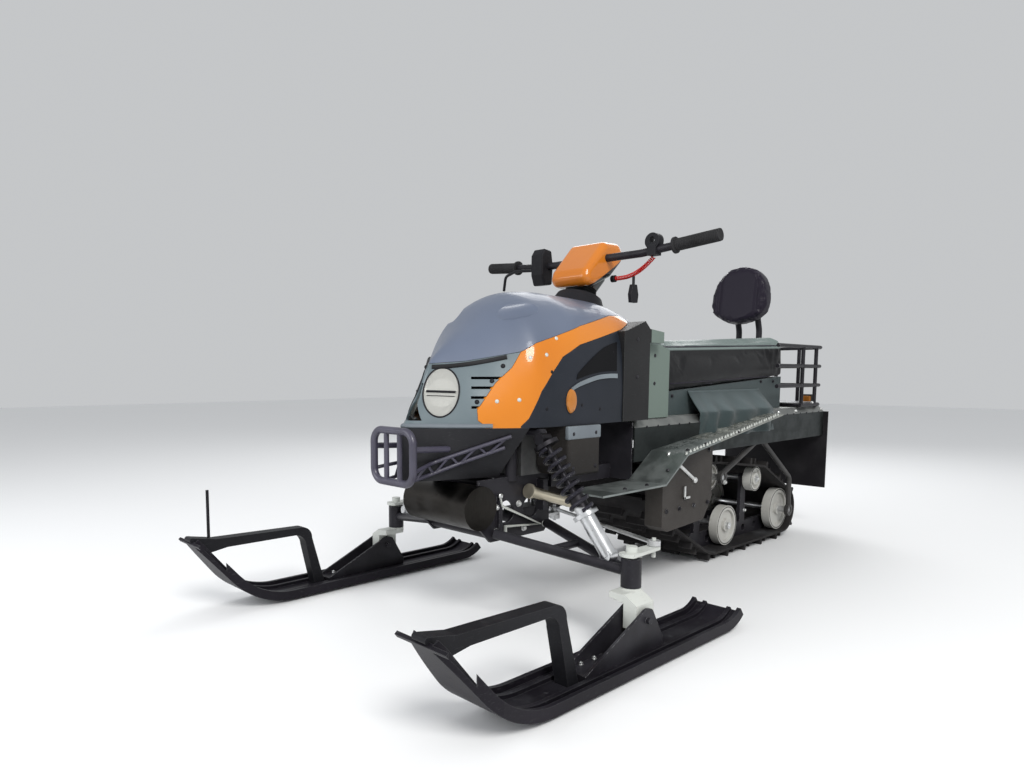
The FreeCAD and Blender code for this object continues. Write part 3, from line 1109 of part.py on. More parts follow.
# A scoop in the hood to each side of its ridge, drawn down with the wall's thickness under it.
scoops = []
for grow in (0, mm("skin_thick")):
    for sign in (-1, 1):
        stretch = FreeCAD.Matrix()
        stretch.scale(80 + grow, 34 + grow, 18 + grow)
        bowl = Part.makeSphere(1).transformGeometry(stretch)
        facing = V(0.487, sign * 0.449, 0.749)
        long_way = V(-0.82, sign * 0.57, 0.19)
        bowl.Placement = FreeCAD.Placement(V(575, sign * 108, 781) + facing * 8,
                                           FreeCAD.Rotation(long_way, facing.cross(long_way), facing, "ZXY"))
        scoops.append(bowl)
outer_skin = outer_skin.cut(scoops[:2])
inner_skin = inner_skin.cut(scoops[2:])
skin = outer_skin.cut(inner_skin)

# Corners of the seams in side view.
seam_points = {"front_high": (880, 900), "front_gap": (880, 632), "gap_nose": (762, 652.5), "gap_mid": (705, 658),
               "gap_rear": (660, 669), "fork": (615, 680), "waist": (582, 701), "hip": (425, 748), "flank": (262, 784),
               "tail_top": (200, 787), "tail_end": (165, 772), "step": (140, 752), "rear_mid": (10, 741), "rear_high": (10, 900),
               "tail_low": (243, 746), "band_mid": (443, 700), "band_fore": (510, 669), "knee": (544, 635),
               "shin": (585, 587), "heel": (616, 521.5), "heel_low": (633, 504), "heel_base": (633, 490),
               "toe_base": (704.5, 490), "toe_low": (704.5, 506), "toe": (717, 518), "toe_high": (716, 543),
               "cheek_low": (672, 606.5), "cheek": (638, 642), "front_low": (880, 490), "door_high": (262, 741.6),
               "door_low": (262, 490)}


def panel(corners, low_side, high_side):
    """The part of the skin inside a side-view outline, set back by half a seam."""
    points = [V(seam_points[name][0], low_side, seam_points[name][1]) for name in corners]
    face = Part.Face(Part.makePolygon(points + points[:1])).makeOffset2D(-mm("seam") / 2)
    return skin.common(face.extrude(ACROSS * (high_side - low_side)))


half_seam = mm("seam") / 2
column_way = Part.makeCylinder(mm("column_hole") / 2, 500, up_column(480), column_line)
dash_base = up_column(mm("bars_top") - 40)
dash_run = (up_column(mm("bars_top") + 10) - dash_base).Length
dash_room = Part.makeCone(90 + mm("pin_clear"), 66 + mm("pin_clear"), dash_run, dash_base, column_line)
node(shaped("hood", panel(("front_gap", "gap_nose", "gap_mid", "gap_rear", "fork", "waist", "hip", "flank", "tail_top",
                           "tail_end", "step", "rear_mid", "rear_high", "front_high"), -400, 400).cut([column_way, dash_room])))
fascia = panel(("front_low", "toe_base", "toe_low", "toe", "toe_high", "cheek_low", "cheek", "fork", "gap_rear", "gap_mid",
                "gap_nose", "front_gap"), -400, 400)

# The headlamps lie in the slanted faces of the nose, with a dark recess between them and louvres beside.
lens_room = skin_solid(mm("skin_thick") * 2.4, mm("skin_low-skin_room"), mm("skin_room"))
cuts = []
lenses = []
for sign in (-1, 1):
    facing = V(0.771, sign * 0.547, 0.324)
    level = V(-facing.y, facing.x, 0).normalize()
    for grow in (mm("pin_clear"), 0):
        oval = Part.Ellipse(V(0, 0, 0), mm("lamp_high") / 2 + grow, mm("lamp_long") / 2 + grow).toShape()
        cylinder = Part.Face(Part.Wire([oval])).extrude(V(0, 0, 90))
        cylinder.Placement = FreeCAD.Placement(V(mm("lamp_fore"), sign * mm("lamp_side"), mm("lamp_level")) - facing * 45,
                                               FreeCAD.Rotation(facing.cross(level), level, facing, "ZXY"))
        if grow:
            cuts.append(cylinder)
        else:
            lens = cylinder.common(outer_skin).cut([lens_room, Part.makeBox(400, 400, 400, V(500, -200 - sign * 199, 400))])
            lenses.append(max(lens.Solids, key=lambda solid: solid.Volume))
    for height, x, y in ((546, 690, 132), (569, 688, 128), (592, 683, 124), (615, 677, 117)):
        louvre = Part.makeBox(mm("louvre_long"), 26, mm("louvre_high"), V(-mm("louvre_long") / 2, -13, 0))
        louvre.Placement = FreeCAD.Placement(V(x, sign * y, height), FreeCAD.Rotation(UP, -sign * 41))
        cuts.append(louvre)
recess = Part.Face(Part.makePolygon([V(740, -3, 606), V(740, 3, 606), V(740, 7, 560), V(740, 30, 518), V(740, -30, 518),
                                     V(740, -7, 560), V(740, -3, 606)])).extrude(FORWARD * 120)
fascia = fascia.cut(cuts + [recess])
node(shaped("fascia", fascia))
node(shaped("headlamps", Part.makeCompound(lenses)))
doors = []
flanks = []
for low_side, high_side in ((0, 400), (-400, 0)):
    flanks.append(panel(("heel_base", "toe_base", "toe_low", "toe", "toe_high", "cheek_low", "cheek", "fork", "waist", "hip",
                         "flank", "tail_top", "tail_end", "tail_low", "band_mid", "band_fore", "knee", "shin", "heel",
                         "heel_low"), low_side, high_side))
    doors.append(panel(("heel_base", "heel_low", "heel", "shin", "knee", "band_fore", "band_mid", "door_high", "door_low"),
                       low_side, high_side))
node(shaped("side_panels", Part.makeCompound(flanks)))
node(shaped("lower_panels", Part.makeCompound(doors)))

# A closed box under each lower panel, over the footwell's front.
cover = side_plate("cover_box",
                   [("cover_aft", "cover_low"), ("cover_fore-14", "cover_low"), ("cover_fore", "cover_low+22"),
                    ("cover_fore", "pan_top"), ("cover_aft", "pan_top")], "(cover_in+cover_out)/2", "cover_out-cover_in")
rounded(cover, "8", lambda edge: all(abs(vertex.Point.y - mm("cover_out")) < 0.01 for vertex in edge.Vertexes))
node(grouped("side_covers", [cover, mirrored("side_cover_right", cover)]))

node(shaped("dash", Part.makeCone(90, 66, dash_run, dash_base, column_line).cut(column_way)))

# The console closes the skin's rear, and the knee panel stands between it and the seat.
console_block = side_plate("console_block",
                           [(262 - half_seam, "tunnel_top+pin_clear"), (262 - half_seam, 741.6 - half_seam),
                            (243, 745.8 - half_seam * 1.1), (165, 772 - half_seam * 1.3), (140.8, 752 - half_seam * 1.4),
                            ("rear_x", 745.2 - half_seam * 1.1), ("rear_x", "knee_top+2"), (140 + half_seam, "knee_top+2"),
                            (140 + half_seam, "tunnel_top+pin_clear")], "0", "2*bars_half+8")
rear_slab = shaped("rear_slab", lens_room.common(Part.makeBox(8, 400, 120, V(mm("rear_x"), -200, 738))))
console_solid = hollow("console_solid", fused("console_whole", [console_block, rear_slab]),
                       shaped("console_way", column_way))
knee_block = side_plate("knee_block",
                        [(140 - half_seam, "tunnel_top+pin_clear"), (140 - half_seam, "knee_top"), (34, "knee_top"),
                         ("seat_front+seam", "knee_top-14"), ("seat_front+seam", "tunnel_top+pin_clear")], "0", "2*knee_half")
node(grouped("console", [console_solid, knee_block]))

# The seat, its base and the backrest on two posts.
cushion = side_plate("seat_cushion",
                     [("seat_front", "seat_front_low"), ("seat_front", "seat_front_top-26"),
                      ("seat_front-30", "seat_front_top", "seat_front-8", "seat_front_top-8"),
                      ("seat_rear+60", "seat_rear_top"),
                      ("seat_rear", "seat_rear_top-60", "seat_rear+12", "seat_rear_top-12"),
                      ("seat_rear", "seat_rear_low")], "0", "2*seat_half")
node(cushion)
base = side_plate("seat_base",
                  [("seat_front", "tunnel_top+pin_clear"), ("seat_front", "seat_front_low-pin_clear"),
                   ("seat_rear", "seat_rear_low-pin_clear"), ("seat_rear", "tunnel_top+pin_clear")],
                  "0", "2*base_half")
node(base)

pad_tilt = math.radians(8)
pad_normal = V(math.cos(pad_tilt), 0, math.sin(pad_tilt))
pad_corners = [(-0.30, -0.5), (0.30, -0.5), (0.45, -0.38), (0.5, -0.1), (0.42, 0.24), (0.2, 0.46), (0, 0.5), (-0.2, 0.46),
               (-0.42, 0.24), (-0.5, -0.1), (-0.45, -0.38)]
pad_edge = Part.BSplineCurve()
pad_edge.interpolate([V(across * mm("pad_wide"), high * mm("pad_tall"), 0) for across, high in pad_corners], PeriodicFlag=True)
pad_face = Part.Face(Part.Wire([pad_edge.toShape()]))
back_pad = pad_face.extrude(V(0, 0, mm("pad_thick")))
back_pad.Placement = FreeCAD.Placement(spot("pad_fore", "0", "pad_high") - pad_normal * (mm("pad_thick") / 2),
                                       FreeCAD.Rotation(ACROSS, V(-math.sin(pad_tilt), 0, math.cos(pad_tilt)), pad_normal))
node(shaped("backrest_pad", back_pad))
post_parts = []
for sign in (-1, 1):
    path = [spot("seat_rear-20", "%d*post_side" % sign, "tunnel_top+pin_clear"),
            spot("seat_rear-20", "%d*post_side" % sign, "seat_rear_top+40"),
            spot("pad_fore-30", "%d*post_side" % sign, "pad_high-10"),
            spot("pad_fore-34", "%d*post_side" % sign, "pad_high+60")]
    post_parts.append(shaped("post_%d" % (sign + 2), bent_tube(path, 60, mm("post_dia"))))
posts_solid = grouped("posts_solid", post_parts)
node(hollow("backrest_posts", posts_solid, nodes[-1]))

# The cargo rack: hoops at four levels tied by uprights, standing on the tunnel.
rack_parts = []
levels = [mm("rack_low") + mm("pin_clear") + (mm("rack_top") - mm("rack_low")) * share for share in (0, 0.34, 0.67, 1)]
for number, level in enumerate(levels):
    half = mm("rack_half")
    front = mm("rack_front") if number else mm("seat_rear") - 60
    hoop = [V(front, half, level), V(mm("rack_rear"), half, level), V(mm("rack_rear"), -half, level), V(front, -half, level)]
    rack_parts.append(shaped("rack_hoop_%d" % number, bent_tube(hoop, mm("rack_bend"), mm("rack_dia"))))
for number, (x, side) in enumerate(((-940, 1), (-1062, 1), (-940, -1), (-1062, -1))):
    rack_parts.append(rod("rack_post_%d" % number, V(x, side * mm("rack_half"), levels[0]),
                          V(x, side * mm("rack_half"), levels[3]), "rack_dia"))
for number, side in enumerate((-90, 0, 90)):
    rack_parts.append(rod("rack_rear_post_%d" % number, V(mm("rack_rear"), side, levels[0]),
                          V(mm("rack_rear"), side, levels[3]), "rack_dia"))
for number, x in enumerate((-955, -1010, -1070)):
    rack_parts.append(rod("rack_floor_%d" % number, V(x, -mm("rack_half"), levels[0]), V(x, mm("rack_half"), levels[0]),
                          "rack_dia"))
node(fused("cargo_rack", rack_parts))
floor_level = "rack_low+rack_dia/2+2*pin_clear"
floor_side = "rack_half-rack_bend/2"
node(box("rack_floor", ("rack_rear+rack_bend/2", "-(%s)" % floor_side, floor_level),
         ("seat_rear-67", floor_side, "%s+floor_thick" % floor_level)))

flap = side_plate("snow_flap",
                  [("tunnel_aft-pin_clear", "flap_high"), ("tunnel_aft-pin_clear-flap_thick", "flap_high"),
                   ("tunnel_aft-pin_clear-flap_thick", "flap_low"), ("tunnel_aft-pin_clear", "flap_low")], "0", "2*flap_half")
node(flap)
lamp_face = "tunnel_aft-flap_thick-2*pin_clear"
lamp_left = side_plate("tail_lamp_left",
                       [(lamp_face, "flap_high-8"), ("%s-22" % lamp_face, "flap_high-12"),
                        ("%s-22" % lamp_face, "flap_high-40"), (lamp_face, "flap_high-44")], "tail_lamp_side", "tail_lamp_wide")
node(grouped("tail_lamps", [lamp_left, mirrored("tail_lamp_right", lamp_left)]))
hitch = flat_plate("tow_hitch",
                   [("tunnel_aft+40", "-40"), ("tunnel_aft+40", "40"), ("tunnel_aft", "40"), ("-tail_aft", "24"),
                    ("-tail_aft", "-24"), ("tunnel_aft", "-40")],
                   "tunnel_top-tunnel_sheet-pin_clear-hitch_thick/2", "hitch_thick",
                   [("hitch_edge-tail_aft", "0", "hitch_bore/2")])
node(hitch)

doc.recompute()
os.makedirs("parts", exist_ok=True)
failed = [item.Label + " " + item.getStatusString() for item in doc.Objects if "Invalid" in item.State or "Error" in item.State]
if failed:
    raise RuntimeError("failed objects: " + ", ".join(failed))
for piece in nodes:
    shape = piece.Shape
    if shape.isNull() or not shape.isValid() or not shape.Solids:
        raise RuntimeError("bad shape in " + piece.Label)
    shape.exportStep("parts/%s.step" % piece.Label)
    print(piece.Label, len(shape.Solids), round(shape.Volume), shape.BoundBox)
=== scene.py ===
import json
import math

import bmesh
import bpy
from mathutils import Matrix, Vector
from mathutils.bvhtree import BVHTree


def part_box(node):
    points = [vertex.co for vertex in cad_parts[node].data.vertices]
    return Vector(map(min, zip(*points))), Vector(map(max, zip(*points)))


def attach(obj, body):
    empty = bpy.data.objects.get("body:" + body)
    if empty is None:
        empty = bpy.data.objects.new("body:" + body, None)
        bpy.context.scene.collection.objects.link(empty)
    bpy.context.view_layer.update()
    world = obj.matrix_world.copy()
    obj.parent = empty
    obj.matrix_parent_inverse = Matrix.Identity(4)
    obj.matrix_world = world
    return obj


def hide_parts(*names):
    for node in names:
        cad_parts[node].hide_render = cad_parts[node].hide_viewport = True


# A compact utility snowmobile on a pale floor. Metres: X forwards, Y to the rider's left, Z up.
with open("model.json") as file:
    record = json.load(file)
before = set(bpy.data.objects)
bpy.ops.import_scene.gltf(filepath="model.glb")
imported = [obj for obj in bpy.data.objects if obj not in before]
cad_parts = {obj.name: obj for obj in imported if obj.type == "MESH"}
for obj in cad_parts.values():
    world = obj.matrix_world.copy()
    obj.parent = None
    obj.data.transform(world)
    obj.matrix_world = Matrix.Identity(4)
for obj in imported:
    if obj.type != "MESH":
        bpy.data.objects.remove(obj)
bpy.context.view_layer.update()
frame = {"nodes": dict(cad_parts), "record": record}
cadNodes = frame["nodes"]
print("frame:", len(cadNodes), "nodes loaded")


class Wire:
    # one output of a shader node; an expression on it adds its Math nodes
    def __init__(self, paint, socket):
        self.paint = paint
        self.socket = socket

    def maths(self, operation, first, second):
        return self.paint.add("ShaderNodeMath", {"operation": operation}, {0: first, 1: second})

    def __add__(self, other):
        return self.maths("ADD", self, other)

    __radd__ = __add__

    def __sub__(self, other):
        return self.maths("SUBTRACT", self, other)

    def __rsub__(self, other):
        return self.maths("SUBTRACT", other, self)

    def __mul__(self, other):
        return self.maths("MULTIPLY", self, other)

    __rmul__ = __mul__


class Paint:
    # a material with its shader and the nodes that feed it
    def __init__(self, name):
        self.material = bpy.data.materials.new(name)
        self.material.use_nodes = True
        self.tree = self.material.node_tree
        self.shader = self.tree.nodes["Principled BSDF"]
        self.place = self.add("ShaderNodeTexCoord", {}, {}, "Object")

    def feed(self, socket, value):
        if isinstance(value, Wire):
            self.tree.links.new(value.socket, socket)
        elif socket.type == "RGBA":
            socket.default_value = (*value, 1)
        else:
            socket.default_value = value

    def add(self, kind, settings, values, out=0):
        node = self.tree.nodes.new(kind)
        for name, value in settings.items():
            setattr(node, name, value)
        for key, value in values.items():
            self.feed(node.inputs[key], value)
        return Wire(self, node.outputs[out])

    def noise(self, scale, detail, stretch=None):
        place = self.place
        if stretch:
            place = self.add("ShaderNodeMapping", {}, {"Vector": place, "Scale": stretch})
        return self.add("ShaderNodeTexNoise", {}, {"Vector": place, "Scale": scale, "Detail": detail})

    def cells(self, scale):
        return self.add("ShaderNodeTexVoronoi", {}, {"Vector": self.place, "Scale": scale}, "Distance")

    def fade(self, value, low, high):
        return self.add("ShaderNodeMapRange", {"interpolation_type": "SMOOTHSTEP"},
                        {"Value": value, "From Min": low, "From Max": high})

    def mix(self, share, first, second):
        return self.add("ShaderNodeMix", {"data_type": "RGBA"}, {0: share, 6: first, 7: second}, 2)

    def patched(self, patches, look, low=0.3):
        # the two tones of a finish, blended in patches
        return self.mix(self.fade(patches, low, 0.7), look["colour"], look["shade"])

    def normal(self):
        return self.add("ShaderNodeNewGeometry", {}, {}, "Normal")

    def roundNormal(self, radius):
        return self.add("ShaderNodeBevel", {"samples": 4}, {"Radius": radius}, "Normal")

    def edges(self, radius):
        # near 1 on sharp edges, 0 on flat ground
        same = self.add("ShaderNodeVectorMath", {"operation": "DOT_PRODUCT"},
                        {0: self.roundNormal(radius), 1: self.normal()}, "Value")
        return self.fade(1 - same, 0.03, 0.25)

    def part(self, vector, axis):
        return self.add("ShaderNodeSeparateXYZ", {}, {0: vector}, axis)

    def along(self, axis, low, high):
        # rises from 0 to 1 between two places along one axis of the vehicle
        return self.fade(self.part(self.place, axis), low, high)

    def slanted(self, slope, low, high):
        # rises from 0 to 1 across a height that changes with the distance forward
        return self.fade(self.part(self.place, "Z") + self.part(self.place, "X") * slope, low, high)

    def upness(self):
        return self.part(self.normal(), "Z")

    def bump(self, height, distance, radius=0.0):
        values = {"Height": height, "Distance": distance, "Strength": 1.0}
        if radius:
            values["Normal"] = self.roundNormal(radius)
        return self.add("ShaderNodeBump", {}, values)

    def done(self, values):
        for key, value in values.items():
            self.feed(self.shader.inputs[key], value)
        return self.material


def dusted(paint, colour, look):
    # pale dust that settles on what faces up, in patches
    settled = paint.fade(paint.upness(), 0.35, 1.0) * paint.fade(paint.noise(9, 6), 0.45, 0.75)
    speckle = paint.fade(paint.noise(260, 2), 0.62, 0.76)
    return paint.mix((settled * 0.7 + speckle * 0.3) * look["dust"], colour, (0.34, 0.36, 0.38))


def layered(paint, colour, look):
    # another colour beyond a place along one axis, below a slanting line, or on what faces up
    if "second" in look:
        axis, low, high, other = look["second"]
        colour = paint.mix(paint.along(axis, low, high), other, colour)
    if "under" in look:
        slope, low, high, other = look["under"]
        colour = paint.mix(paint.slanted(slope, low, high), other, colour)
    if "upper" in look:
        colour = paint.mix(paint.fade(paint.upness(), 0.5, 0.9), colour, look["upper"])
    return colour


def moulded(paint, look):
    # matt moulded plastic with a fine grain, softened edges and light scuffs
    patches = paint.noise(5, 4)
    scuffs = paint.fade(paint.noise(70, 5, (1, 1, 6)), 0.60, 0.70)
    colour = layered(paint, paint.patched(patches, look), look)
    colour = paint.mix(paint.edges(0.002) * look["wear"], colour, look["worn"])
    colour = paint.mix(scuffs * look["scuff"], colour, look["worn"])
    grain = paint.noise(look["grain"], 2) * 0.6 + paint.cells(look["grain"] * 0.7) * 0.4
    return {
        "Base Color": dusted(paint, colour, look),
        "Roughness": look["rough"] + patches * 0.12 + scuffs * 0.15,
        "Specular IOR Level": look["gleam"],
        "Normal": paint.bump(grain, look["depth"], 0.0016),
    }


def glossy(paint, look):
    # lacquered plastic: a clear coat over a coloured body, faint ripples and hairline scratches
    patches = paint.noise(3, 3)
    ripple = paint.noise(48, 2) * 0.7 + paint.noise(320, 1) * 0.3
    hairs = paint.fade(paint.noise(60, 6, (1, 9, 1)), 0.66, 0.74)
    colour = layered(paint, paint.patched(patches, look), look)
    colour = paint.mix(paint.edges(0.0015) * look["wear"], colour, look["worn"])
    return {
        "Base Color": dusted(paint, colour, look),
        "Roughness": look["rough"] + patches * 0.1 + hairs * 0.2,
        "Specular IOR Level": look["gleam"],
        "Coat Weight": look["coat"] - hairs * 0.3,
        "Coat Roughness": 0.06,
        "Normal": paint.bump(ripple, look["depth"], 0.0016),
    }


def coated(paint, look):
    # powder-coated steel: satin, with bare metal where edges have chipped
    patches = paint.noise(14, 5)
    chips = paint.edges(0.0018) * paint.fade(paint.noise(90, 4), 0.50, 0.60) * look["wear"]
    colour = dusted(paint, paint.patched(patches, look), look)
    return {
        "Base Color": paint.mix(chips, colour, (0.42, 0.42, 0.43)),
        "Metallic": chips,
        "Roughness": look["rough"] + patches * 0.15 - chips * 0.1,
        "Specular IOR Level": look["gleam"],
        "Normal": paint.bump(paint.noise(700, 2) - chips * 0.8, 0.00025, 0.0012),
    }


def plated(paint, look):
    # zinc-plated or bare metal with drawn streaks and dull patches
    dull = paint.fade(paint.noise(16, 5), 0.40, 0.70)
    streaks = paint.noise(look["streaks"], 3, look["along"])
    colour = paint.mix(dull * 0.7, look["colour"], look["shade"])
    colour = paint.mix(paint.fade(streaks, 0.45, 0.75) * 0.4, colour, look["shade"])
    return {
        "Base Color": dusted(paint, layered(paint, colour, look), look),
        "Metallic": 1 - dull * 0.25,
        "Roughness": look["rough"] + dull * 0.22 + streaks * 0.12,
        "Normal": paint.bump(streaks, 0.00012, 0.0012),
    }


def rubbery(paint, look):
    # dull rubber with a fine tooth, pale where it has been rubbed
    patches = paint.noise(11, 6)
    colour = paint.mix(paint.edges(0.003) * look["wear"], paint.patched(patches, look, 0.35), look["worn"])
    return {
        "Base Color": dusted(paint, colour, look),
        "Roughness": look["rough"] + patches * 0.15,
        "Specular IOR Level": 0.15,
        "Normal": paint.bump(paint.noise(420, 4) + paint.noise(40, 2) * 0.5, look["depth"], 0.002),
    }


# The seat's top rises gently to the rear, and so does the paler strip along its upper edge, a painted sheen
# standing in for light on the seat's top.
seatTop = {"high": 0.733, "slope": 0.031, "strip": (0.694, 0.700)}


# mask of the seat's painted sheen: rises to 1 above a slanting line near the seat's upper edge
def paintedSheenBand(paint):
    return paint.slanted(seatTop["slope"], *seatTop["strip"])


# mask of what faces up, where the back pad and skirts take a paler painted-light colour
def facingUp(paint):
    return paint.fade(paint.upness(), 0.45, 0.85)


def vinyl(paint, look):
    # seat cover: leather-like cells, a soft sheen and slow creases; its top colour is painted light, paler
    # where the band mask lies
    cells = paint.fade(paint.cells(430), 0.05, 0.5)
    creases = paint.noise(22, 5, (1, 2.5, 1))
    patches = paint.noise(6, 3)
    colour = paint.mix(cells * 0.25, look["shade"], paint.patched(patches, look))
    # painted light: the paler top colour fills the band mask (painted sheen on the seat, painted light from
    # above on the back pad and skirts)
    colour = paint.mix(look["band"](paint), colour, look["top"])
    return {
        "Base Color": dusted(paint, colour, look),
        "Roughness": look["rough"] + patches * 0.1 - cells * 0.05,
        "Sheen Weight": look["sheen"],
        "Sheen Roughness": 0.5,
        "Specular IOR Level": 0.15,
        "Normal": paint.bump(cells * 0.6 + creases * 1.4, look["depth"]),
    }


def clearLens(paint, look):
    # clear or tinted moulded lens with faint flutes
    cloudy = paint.fade(paint.noise(30, 4), 0.5, 0.8) * 0.2
    return {
        "Base Color": paint.mix(cloudy, look["colour"], look["shade"]),
        "Roughness": look["rough"] + paint.noise(60, 4) * 0.05,
        "Transmission Weight": look["through"],
        "IOR": 1.47,
        "Normal": paint.bump(paint.noise(140, 1, (0.4, 1, 0.25)), look["depth"]),
    }


